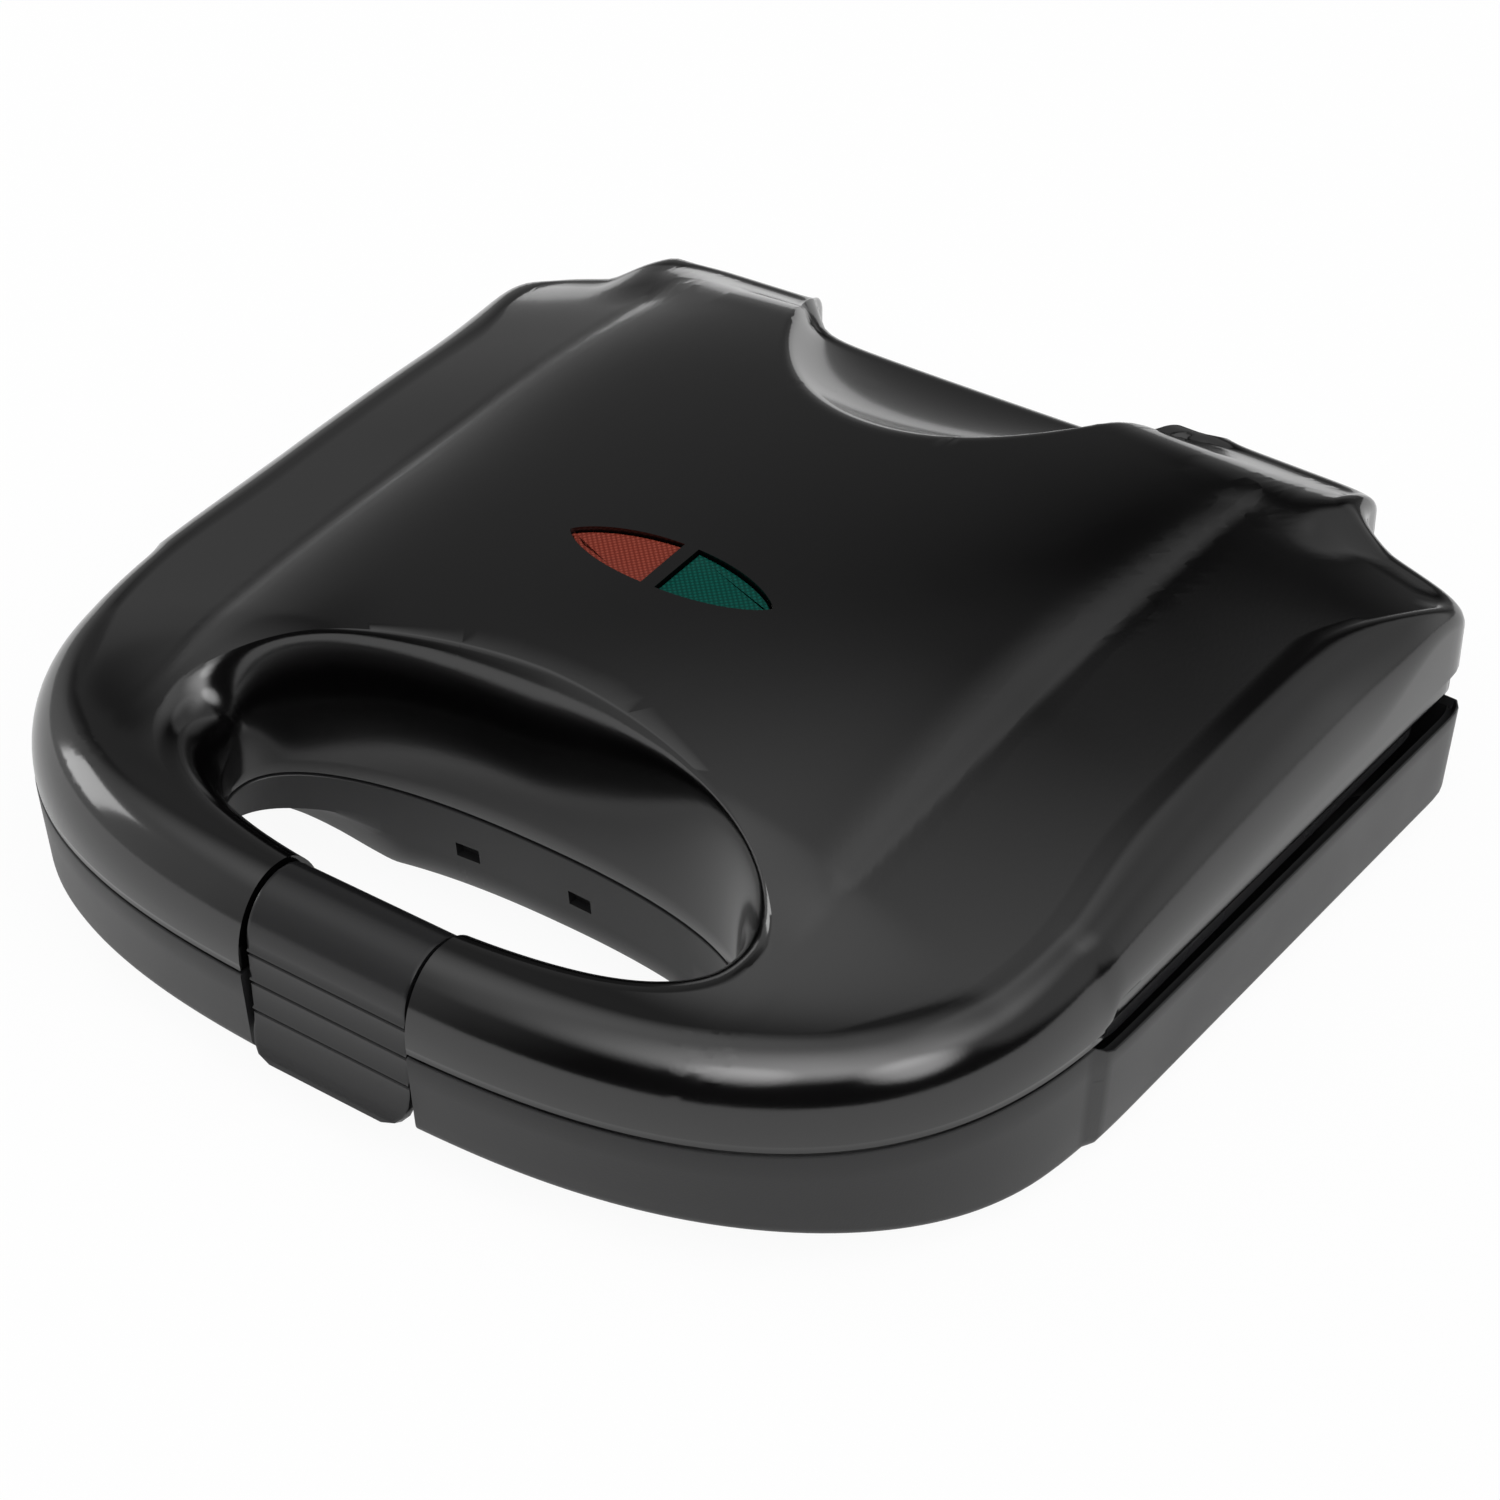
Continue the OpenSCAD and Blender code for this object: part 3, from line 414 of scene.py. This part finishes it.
def finish_material(name, colour, rough, grain=900.0, depth=0.02, metallic=0.0, ior=1.5, coat=0.0):
    """Moulded, coated or metal surface: faintly mottled colour, grain as a bump, rough = (low, high)."""
    material = bpy.data.materials.new(name)
    material.use_nodes = True
    n, link = material.node_tree.nodes, material.node_tree.links.new
    shader = n["Principled BSDF"]
    detail = n.new("ShaderNodeGroup")
    detail.node_tree = surface_detail
    values = {"Grain Scale": grain, "Mottle Scale": MOTTLE_SCALE, "Low": rough[0], "High": rough[1]}
    for label, value in values.items():
        detail.inputs[label].default_value = value
    ramp = n.new("ShaderNodeMix")
    ramp.data_type = "RGBA"
    ramp.inputs["A"].default_value = (*[c * (1 - MOTTLE_TINT) for c in colour], 1)
    ramp.inputs["B"].default_value = (*[c * (1 + MOTTLE_TINT) for c in colour], 1)
    link(detail.outputs["Mottle"], ramp.inputs["Factor"])
    link(ramp.outputs["Result"], shader.inputs["Base Color"])
    link(detail.outputs["Roughness"], shader.inputs["Roughness"])
    bump = n.new("ShaderNodeBump")
    bump.inputs["Strength"].default_value = 1.0
    bump.inputs["Distance"].default_value = depth * MM
    link(detail.outputs["Height"], bump.inputs["Height"])
    link(bump.outputs["Normal"], shader.inputs["Normal"])
    shader.inputs["Metallic"].default_value = metallic
    shader.inputs["IOR"].default_value = ior
    shader.inputs["Coat Weight"].default_value = coat
    return material


def wear(piece, material):
    piece.data.materials.clear()
    piece.data.materials.append(material)


gloss_black = finish_material(
    "gloss_black_abs", (0.0011, 0.001, 0.0011), (0.11, 0.15), grain=1500, depth=0.004, ior=1.7
)
wear(top_cover, gloss_black)
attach(top_cover, "lid")
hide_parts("top_cover")

# ---------------------------------------------------------------------------------------------
# Bottom shell: satin black tray. Its wall rises to the parting line at the handle and stops
# lower beside the plates. Two notches sit in the rear wall of the finger opening, and two gaps
# at the back let the lid's lugs turn.
FLOOR_Z = 4.0
HANDLE_RISE = 6.0
DRAFT = 1.1
LOW_EDGE_Z = 24.8
HINGE_GAP_IN, HINGE_GAP_OUT, HINGE_GAP_Z = 52.8, 79.2, 15.0
NOTCH_XS, NOTCH_HALF, NOTCH_LOW, NOTCH_HIGH = (-17.6, 8.4), 2.6, 16.6, 19.8
NOTCH_DEPTH = 1.8


def floor_at(y):
    return FLOOR_Z + HANDLE_RISE * smooth(-50, -108, y)


def base_point(i, d):
    p = outline[i]
    if p.y > WING_BACK_Y - 1:
        return Vector((p.x, WING_BACK_Y - 1 - d))
    step = smooth(-39.5, -38.5, p.y)
    return p + inward[i] * (d - step)


def base_section(i):
    p = outline[i]
    edge = mix(SEAM_Z - SEAM_HALF_GAP, LOW_EDGE_Z, smooth(-39.5, -36.5, p.y))
    up = spokes[i].y
    ends = smooth(0.5, 0.25, up) * smooth(-0.6, -0.2, up)
    round_r = mix(8.6, 11.5, smooth(-0.2, 0.4, up))
    under_w, under_h = mix(round_r, 25.0, ends), mix(round_r, 15.0, ends)
    near = opening_point(i, 1.2 + under_w)
    far = base_point(i, DRAFT + 2.4)
    low = floor_at(p.y)
    out = [(*base_point(i, 0.4), edge), (*base_point(i, 0.12), edge - 0.12), (*base_point(i, 0), edge - 0.4)]
    for share in (0.33, 0.66):
        out.append((*base_point(i, DRAFT * share), mix(edge - 0.4, low + 2.2, share)))
    for a in range(0, 91, 18):
        s, c = math.sin(math.radians(a)), math.cos(math.radians(a))
        out.append((*base_point(i, DRAFT + 2.4 * (1 - c) * 0.8), low + 2.2 - 2.2 * s))
    for k in range(1, 12):
        q = far.lerp(near, k / 12)
        out.append((*q, floor_at(q.y)))
    for k in range(0, 11):
        u = 1 - k / 10
        across = mix(1 - math.cos(math.pi / 2 * u), u, ends)
        drop = mix(1 - math.sin(math.pi / 2 * u), 1 - u, ends)
        out.append((*opening_point(i, 1.2 + under_w * across), floor_at(near.y) + under_h * drop))
    out.append((*opening_point(i, 0.0), SEAM_Z - 0.5))
    out.append((*opening_point(i, 0.12), SEAM_Z - 0.34))
    out.append((*opening_point(i, 0.7), SEAM_Z - 0.22))
    return out


shell_bm = skin_from_sections([base_section(i) for i in range(COUNT)])
base_cuts = (SLOT_HALF, SLOT_HALF - 0.03, HINGE_GAP_IN, HINGE_GAP_OUT)
score(shell_bm, 0, [side * x for side in (-1, 1) for x in base_cuts])
score(shell_bm, 2, (HINGE_GAP_Z, 21.6, 21.8))
for v in shell_bm.verts:
    if abs(v.co.x) < SLOT_HALF - 0.01 and v.co.y < -100:
        v.co.y = max(v.co.y, -106.3 if v.co.z > 21.7 else -104.2)
score(shell_bm, 0, [x + step for x in NOTCH_XS for step in (-NOTCH_HALF, NOTCH_HALF)])
score(shell_bm, 2, (NOTCH_LOW, NOTCH_HIGH))
for x in NOTCH_XS:
    slot = []
    for f in shell_bm.faces:
        middle = f.calc_center_median()
        if abs(middle.x - x) < NOTCH_HALF and -53 < middle.y < -45 and NOTCH_LOW < middle.z < NOTCH_HIGH:
            slot.append(f)
    pushed = bmesh.ops.extrude_face_region(shell_bm, geom=slot)["geom"]
    bmesh.ops.delete(shell_bm, geom=[f for f in slot if f.is_valid], context="FACES_ONLY")
    deep = [g for g in pushed if isinstance(g, bmesh.types.BMVert)]
    bmesh.ops.translate(shell_bm, vec=(0, NOTCH_DEPTH, 0), verts=deep)
hinge_gaps = []
for f in shell_bm.faces:
    middle = f.calc_center_median()
    if HINGE_GAP_IN < abs(middle.x) < HINGE_GAP_OUT and middle.y > 85 and middle.z > HINGE_GAP_Z:
        hinge_gaps.append(f)
bmesh.ops.delete(shell_bm, geom=hinge_gaps, context="FACES")
bmesh.ops.recalc_face_normals(shell_bm, faces=shell_bm.faces)
if min(shell_bm.faces, key=lambda f: f.calc_center_median().z).normal.z > 0:
    bmesh.ops.reverse_faces(shell_bm, faces=shell_bm.faces)
bottom_shell = finish_mesh(shell_bm, "base_shell")
wall = bottom_shell.modifiers.new("wall", "SOLIDIFY")
wall.thickness, wall.offset = WALL * MM, -1
apply_modifiers(bottom_shell, 35)
satin_black = finish_material("satin_black_pp", (0.010, 0.010, 0.0105), (0.34, 0.42), grain=2600, depth=0.02)
wear(bottom_shell, satin_black)
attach(bottom_shell, "base")
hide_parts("bottom_shell")

# ---------------------------------------------------------------------------------------------
# Latch clip: satin black moulding bent over the handle bar, with three grooves across its front
# and a flared finger tab. A strip follows its side view and then gets its thickness, two lugs
# for its pin and the catch tooth.
CLIP_T = 2.2
TOOTH_HALF = 17.2
TOOTH_PROFILE = ((-107.2, 18.4), (-104.9, 20.6), (-104.9, 21.0), (-107.2, 21.6))
PIN_LUG_X, PIN_LUG_R, PIN_LUG_WIDE = 14.25, 3.2, 4.5
CLIP_TOP_Z, CLIP_FRONT_Y, CLIP_FOOT_Z = 44.6, -109.0, 11.0
LATCH_Y, LATCH_Z = -98.5, 38.5


def clip_path():
    """Outer surface of the clip, in (y, z) mm: from its back edge over the bar to the tab."""
    path = [(-90.6, 37.2), (-91.0, 38.5), (-91.8, 39.9), (-93.2, 41.8), (-95.2, 43.6), (-97.2, 44.4)]
    for a in range(95, 181, 6):
        c, s = math.cos(math.radians(a)), math.sin(math.radians(a))
        path.append((CLIP_FRONT_Y + 10 + 10 * c, CLIP_TOP_Z - 10 + 10 * s))
    for z in (32.2, 25.9, 19.5):
        path += [(CLIP_FRONT_Y, z + 1.1), (CLIP_FRONT_Y - 0.2, z + 0.8), (CLIP_FRONT_Y - 0.22, z + 0.45),
                 (CLIP_FRONT_Y, z + 0.25), (CLIP_FRONT_Y + 0.5, z + 0.1), (CLIP_FRONT_Y + 0.5, z - 0.25),
                 (CLIP_FRONT_Y, z - 0.5), (CLIP_FRONT_Y, z - 0.7)]
    path += [(CLIP_FRONT_Y - 0.1, 17.2), (CLIP_FRONT_Y - 0.6, 15.4), (CLIP_FRONT_Y - 1.4, 13.3),
             (CLIP_FRONT_Y - 2.1, 11.9), (CLIP_FRONT_Y - 2.5, CLIP_FOOT_Z)]
    return path


path = clip_path()
ACROSS = 24
strip = bmesh.new()
bmesh.ops.create_grid(strip, x_segments=ACROSS, y_segments=len(path) - 1, size=1.0)
for v in strip.verts:
    row = round((v.co.y + 1) / 2 * (len(path) - 1))
    y, z = path[row]
    left = max(0.0, 5.0 - (z - CLIP_FOOT_Z)) if y < -108 else 0.0
    half = CLIP_HALF - (5.0 - math.sqrt(max(0.0, 25.0 - left * left)))
    share = v.co.x
    v.co = Vector((half * math.copysign(1 - (1 - abs(share)) ** 1.3, share), y, z))
bmesh.ops.recalc_face_normals(strip, faces=strip.faces)
if min(strip.faces, key=lambda f: f.calc_center_median().y).normal.y > 0:
    bmesh.ops.reverse_faces(strip, faces=strip.faces)
clip = finish_mesh(strip, "handle_clip")
wall = clip.modifiers.new("wall", "SOLIDIFY")
wall.thickness, wall.offset = CLIP_T * MM, -1
edges = clip.modifiers.new("edges", "BEVEL")
edges.width, edges.segments, edges.limit_method, edges.angle_limit = 0.35 * MM, 2, "ANGLE", math.radians(60)
apply_modifiers(clip, 38)
inner = bmesh.new()
inner.from_mesh(clip.data)
bmesh.ops.scale(inner, vec=(1 / MM, 1 / MM, 1 / MM), verts=inner.verts)
tooth = [inner.verts.new((-TOOTH_HALF, y, z)) for y, z in TOOTH_PROFILE]
grown = bmesh.ops.extrude_face_region(inner, geom=[inner.faces.new(tooth)])["geom"]
far_end = [g for g in grown if isinstance(g, bmesh.types.BMVert)]
bmesh.ops.translate(inner, vec=(2 * TOOTH_HALF, 0, 0), verts=far_end)
for side in (-1, 1):
    x = side * PIN_LUG_X
    turned = Matrix.Translation((x, LATCH_Y, LATCH_Z)) @ Matrix.Rotation(math.radians(90), 4, "Y")
    bmesh.ops.create_cone(
        inner,
        cap_ends=True,
        segments=32,
        radius1=PIN_LUG_R,
        radius2=PIN_LUG_R,
        depth=PIN_LUG_WIDE,
        matrix=turned,
    )
    box_into(
        inner,
        (x - PIN_LUG_WIDE / 2, LATCH_Y - PIN_LUG_R, LATCH_Z),
        (x + PIN_LUG_WIDE / 2, LATCH_Y + PIN_LUG_R, CLIP_TOP_Z - 1.9),
    )
bmesh.ops.recalc_face_normals(inner, faces=inner.faces)
bmesh.ops.scale(inner, vec=(MM, MM, MM), verts=inner.verts)
inner.to_mesh(clip.data)
inner.free()
clip_black = finish_material("satin_black_clip", (0.008, 0.008, 0.0085), (0.2, 0.26), grain=2200, depth=0.012)
wear(clip, clip_black)
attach(clip, "latch")
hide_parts("latch_clip")

# ---------------------------------------------------------------------------------------------
# Pilot lamp lenses: clear tinted mouldings, red on the left and green on the right, with a plain
# rim in a brighter tint, which is painted glow, and a field of tiny prisms behind the face that
# break the light up, drawn as dots with a faint bump and painted lighter as painted glints.


def lens_material(name, deep, bright, dotted=True):
    """Tinted plastic with a diagonal field of dots painted lighter as painted glints, or plain where dotted
    is off.
    """
    material = bpy.data.materials.new(name)
    material.use_nodes = True
    n, link = material.node_tree.nodes, material.node_tree.links.new
    shader = n["Principled BSDF"]
    place = n.new("ShaderNodeTexCoord")
    turn = n.new("ShaderNodeMapping")
    turn.inputs["Rotation"].default_value = (0, 0, math.radians(45))
    turn.inputs["Scale"].default_value = (1150, 1150, 1150)
    link(place.outputs["Object"], turn.inputs["Vector"])
    cells = n.new("ShaderNodeTexVoronoi")
    cells.voronoi_dimensions = "2D"
    cells.inputs["Randomness"].default_value = 0.0
    cells.inputs["Scale"].default_value = 1.0
    link(turn.outputs["Vector"], cells.inputs["Vector"])
    dots = n.new("ShaderNodeMapRange")
    dots.inputs["From Min"].default_value = 0.1
    dots.inputs["From Max"].default_value = 0.5
    dots.inputs["To Min"].default_value = 1.0
    dots.inputs["To Max"].default_value = 0.0
    link(cells.outputs["Distance"], dots.inputs["Value"])
    # Painted glints: each dot takes the lighter colour, as if its prism caught the light.
    tone = n.new("ShaderNodeMix")
    tone.data_type = "RGBA"
    tone.inputs["A"].default_value = (*deep, 1)
    tone.inputs["B"].default_value = (*bright, 1)
    link(dots.outputs["Result"], tone.inputs["Factor"])
    link(tone.outputs["Result"], shader.inputs["Base Color"])
    bump = n.new("ShaderNodeBump")
    bump.inputs["Distance"].default_value = 0.04 * MM if dotted else 0.005 * MM
    link(dots.outputs["Result"], bump.inputs["Height"])
    link(bump.outputs["Normal"], shader.inputs["Normal"])
    shader.inputs["Roughness"].default_value = 0.22
    shader.inputs["Specular IOR Level"].default_value = 0.06
    shader.inputs["Coat Weight"].default_value = 0.12
    shader.inputs["Coat Roughness"].default_value = 0.06
    return material


# Per colour: the lens's tint, the dots' tint painted lighter as painted glints, and the rim's tint painted
# brighter as painted glow.
LENS_TINT_AND_PAINTED_GLOW = {
    "red": ((0.12, 0.018, 0.011), (0.24, 0.05, 0.032), (0.42, 0.04, 0.015)),
    "green": ((0.0008, 0.032, 0.024), (0.002, 0.07, 0.055), (0.002, 0.11, 0.08)),
}
for colour, side in (("green", 1), ("red", -1)):
    lens_bm = bmesh.new()
    leaf_prism(lens_bm, 0.0, -5.0, -0.6, side)
    bmesh.ops.recalc_face_normals(lens_bm, faces=lens_bm.faces)
    rim_edges = []
    for e in lens_bm.edges:
        if e.calc_face_angle(0) > 1.0 and all(v.co.z > LENS_Z - 4 for v in e.verts):
            rim_edges.append(e)
    bmesh.ops.bevel(
        lens_bm, geom=rim_edges, offset=0.35, segments=3, profile=0.5, affect="EDGES", material=-1
    )
    face = max(lens_bm.faces, key=lambda f: f.calc_area() * f.normal.z)
    bmesh.ops.inset_region(lens_bm, faces=[face], thickness=0.6, depth=-0.12)
    for f in lens_bm.faces:
        f.material_index = 0 if f == face else 1
    lens = finish_mesh(lens_bm, colour + "_lamp_lens", 35)
    deep, bright, rim = LENS_TINT_AND_PAINTED_GLOW[colour]
    wear(lens, lens_material(colour + "_lens", deep, bright))
    # The rim's brighter tint is painted glow, as if light caught in the lens's edge.
    lens.data.materials.append(lens_material(colour + "_lens_rim_painted_glow", rim, rim, dotted=False))
    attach(lens, "lid")
    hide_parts(colour + "_lens")

# ---------------------------------------------------------------------------------------------
# Every other part keeps its exact solid and gets the finish of its stock: coated cast plates,
# bright pans, zinc-plated sheet, steel pins and screws, pale electrical mouldings and rubber.
nonstick = finish_material(
    "nonstick_coating", (0.018, 0.018, 0.019), (0.2, 0.3), grain=1800, depth=0.02, coat=0.3
)
zinc = finish_material(
    "zinc_plated_sheet", (0.56, 0.57, 0.6), (0.28, 0.42), grain=700, depth=0.01, metallic=1.0
)
bright_pan = finish_material(
    "bright_pan_sheet", (0.78, 0.78, 0.79), (0.16, 0.28), grain=500, depth=0.01, metallic=1.0
)
steel = finish_material("turned_steel", (0.5, 0.51, 0.53), (0.2, 0.34), grain=1400, depth=0.01, metallic=1.0)
heater_tube = finish_material(
    "heater_tube", (0.33, 0.31, 0.29), (0.4, 0.55), grain=900, depth=0.02, metallic=1.0
)
brass_cup = finish_material(
    "thermostat_cup", (0.6, 0.52, 0.36), (0.3, 0.4), grain=900, depth=0.01, metallic=1.0
)
sleeve = finish_material("fuse_sleeve", (0.72, 0.68, 0.6), (0.6, 0.75), grain=1600, depth=0.06)
pale = finish_material("pale_moulding", (0.72, 0.69, 0.6), (0.4, 0.5), grain=1200, depth=0.02)
lamp_glass = finish_material("lamp_glass", (0.75, 0.7, 0.62), (0.05, 0.1), grain=300, depth=0.002, coat=1.0)
rubber = finish_material("black_rubber", (0.02, 0.02, 0.02), (0.65, 0.8), grain=1300, depth=0.05)
STOCK = {
    nonstick: ("upper_plate", "lower_plate"),
    satin_black: ("lid_inner_bezel", "base_inner_bezel", "latch_bracket"),
    bright_pan: ("upper_reflector", "lower_reflector"),
    zinc: (
        "hinge_arm_left", "hinge_arm_right", "hinge_bracket_left", "hinge_bracket_right",
        "upper_heater_clamps", "lower_heater_clamps",
    ),
    steel: (
        "hinge_pin_left", "hinge_pin_right", "latch_pivot_pin",
        "upper_plate_screws", "lower_plate_screws", "foot_screws",
    ),
    heater_tube: ("upper_heating_element", "lower_heating_element"),
    brass_cup: ("thermostat",),
    sleeve: ("thermal_fuse",),
    pale: ("lamp_holder", "terminal_block"),
    lamp_glass: ("neon_lamps",),
    rubber: ("rubber_feet", "cable_gland"),
}
for material, names in STOCK.items():
    for name in names:
        wear(nodes[name], material)

# ---------------------------------------------------------------------------------------------
# Studio: pale floor that shows white to the camera, one soft box at the left, and a dome with a
# broad glow behind the camera, soft round patches of light, and two darker ones.
floor_bm = bmesh.new()
bmesh.ops.create_grid(floor_bm, x_segments=1, y_segments=1, size=3000)
floor = finish_mesh(floor_bm, "floor")
floor_paint = bpy.data.materials.new("floor_paint")
floor_paint.use_nodes = True
n, link = floor_paint.node_tree.nodes, floor_paint.node_tree.links.new
n["Principled BSDF"].inputs["Base Color"].default_value = (0.8, 0.8, 0.8, 1)
n["Principled BSDF"].inputs["Roughness"].default_value = 0.9
glow, blend = n.new("ShaderNodeEmission"), n.new("ShaderNodeMixShader")
ray, share = n.new("ShaderNodeLightPath"), n.new("ShaderNodeMath")
glow.inputs["Strength"].default_value = 1.0
share.operation = "MULTIPLY"
share.inputs[1].default_value = 0.3
link(ray.outputs["Is Glossy Ray"], share.inputs[0])
backdrop = n.new("ShaderNodeMath")
backdrop.operation = "MULTIPLY"
backdrop.inputs[1].default_value = 0.94
link(ray.outputs["Is Camera Ray"], backdrop.inputs[0])
either, through = n.new("ShaderNodeMath"), n.new("ShaderNodeMath")
either.operation = through.operation = "MAXIMUM"
link(share.outputs[0], either.inputs[0])
link(backdrop.outputs[0], either.inputs[1])
link(either.outputs[0], through.inputs[0])
link(ray.outputs["Is Transmission Ray"], through.inputs[1])
link(through.outputs[0], blend.inputs["Fac"])
link(n["Principled BSDF"].outputs[0], blend.inputs[1])
link(glow.outputs[0], blend.inputs[2])
link(blend.outputs[0], n["Material Output"].inputs["Surface"])
wear(floor, floor_paint)

CAMERA_AT = Vector((338.96, -452.35, 422.57)) * MM
CAMERA_TO = Vector((18.37, -11.39, 34.0)) * MM
camera_data = bpy.data.cameras.new("camera")
camera_data.lens, camera_data.sensor_width = 86.71, 36.0
camera = bpy.data.objects.new("camera", camera_data)
bpy.context.collection.objects.link(camera)
camera.location = CAMERA_AT
camera.rotation_euler = (CAMERA_TO - CAMERA_AT).to_track_quat("-Z", "Y").to_euler()
bpy.context.scene.camera = camera

AWAY = math.radians(36)


def studio_direction(round_from_away, height):
    """Unit vector at so many degrees to the left of straight away from the camera, and above the horizon."""
    turn, rise = AWAY + math.radians(round_from_away), math.radians(height)
    return Vector((-math.sin(turn) * math.cos(rise), math.cos(turn) * math.cos(rise), math.sin(rise)))


def soft_light(name, direction, distance, size, watts):
    lamp = bpy.data.lights.new(name, "AREA")
    lamp.shape, lamp.size, lamp.size_y, lamp.energy = "RECTANGLE", size[0], size[1], watts
    holder = bpy.data.objects.new(name, lamp)
    bpy.context.collection.objects.link(holder)
    holder.location = direction * distance
    holder.rotation_euler = (-direction).to_track_quat("-Z", "Y").to_euler()


soft_light("left_box", studio_direction(73, 19), 1.6, (0.5, 0.6), 3.4)

world = bpy.data.worlds.new("studio")
bpy.context.scene.world = world
world.use_nodes = True
n, link = world.node_tree.nodes, world.node_tree.links.new
place = n.new("ShaderNodeTexCoord")
height = n.new("ShaderNodeSeparateXYZ")
link(place.outputs["Generated"], height.inputs["Vector"])


def ramp_between(source, low, high, value):
    step = n.new("ShaderNodeMapRange")
    step.interpolation_type = "SMOOTHSTEP"
    step.inputs["From Min"].default_value, step.inputs["From Max"].default_value = low, high
    step.inputs["To Max"].default_value = value
    link(source, step.inputs["Value"])
    return step.outputs["Result"]


def soft_card(round_from_away, up, inner, outer, value):
    """Round soft patch of light on the studio's dome, full within inner degrees and gone at outer."""
    facing = n.new("ShaderNodeVectorMath")
    facing.operation = "DOT_PRODUCT"
    facing.inputs[1].default_value = studio_direction(round_from_away, up)
    link(place.outputs["Generated"], facing.inputs[0])
    gone_at, full_at = math.cos(math.radians(outer)), math.cos(math.radians(inner))
    return ramp_between(facing.outputs["Value"], gone_at, full_at, value)


def combined(operation, first, second):
    sum_up = n.new("ShaderNodeMath")
    sum_up.operation = operation
    link(first, sum_up.inputs[0])
    link(second, sum_up.inputs[1])
    return sum_up.outputs[0]


over_camera = n.new("ShaderNodeVectorMath")
over_camera.operation = "DOT_PRODUCT"
over_camera.inputs[1].default_value = studio_direction(191, 0)
link(place.outputs["Generated"], over_camera.inputs[0])
light = combined(
    "MULTIPLY",
    ramp_between(over_camera.outputs["Value"], -0.1, 1.2, 5.3),
    ramp_between(height.outputs["Z"], math.sin(math.radians(27)), math.sin(math.radians(49)), 1.0),
)
for card in (
    (80, 85, 0, 47, 0.9),
    (-137, 30, 0, 18, 3.85),
    (167, 39, 0, 16, 2.3),
    (82, 19, 0, 53, 0.3),
    (-64, 3, 0, 30, 0.25),
    (-78, 34, 30, 40, 0.45),
    (38, 3, 37, 90, 0.32),
    (2, 43, 10, 45, -0.17),
    (33, 33, 8, 12, -0.1),
):
    light = combined("ADD", light, soft_card(*card))
never_below = n.new("ShaderNodeMath")
never_below.operation, never_below.inputs[1].default_value = "MAXIMUM", 0.0
link(light, never_below.inputs[0])
ray, pick, share = n.new("ShaderNodeLightPath"), n.new("ShaderNodeMix"), n.new("ShaderNodeMath")
share.operation, share.inputs[1].default_value = "MULTIPLY", 0.03
link(ray.outputs["Is Glossy Ray"], share.inputs[0])
pick.data_type = "RGBA"
pick.inputs["B"].default_value = (1, 1, 1, 1)
straight = combined("MAXIMUM", ray.outputs["Is Camera Ray"], ray.outputs["Is Transmission Ray"])
link(combined("MAXIMUM", straight, share.outputs[0]), pick.inputs["Factor"])
link(never_below.outputs[0], pick.inputs["A"])
link(pick.outputs["Result"], n["Background"].inputs["Color"])
n["Background"].inputs["Strength"].default_value = 1.0
bpy.context.scene.view_settings.view_transform = "Standard"
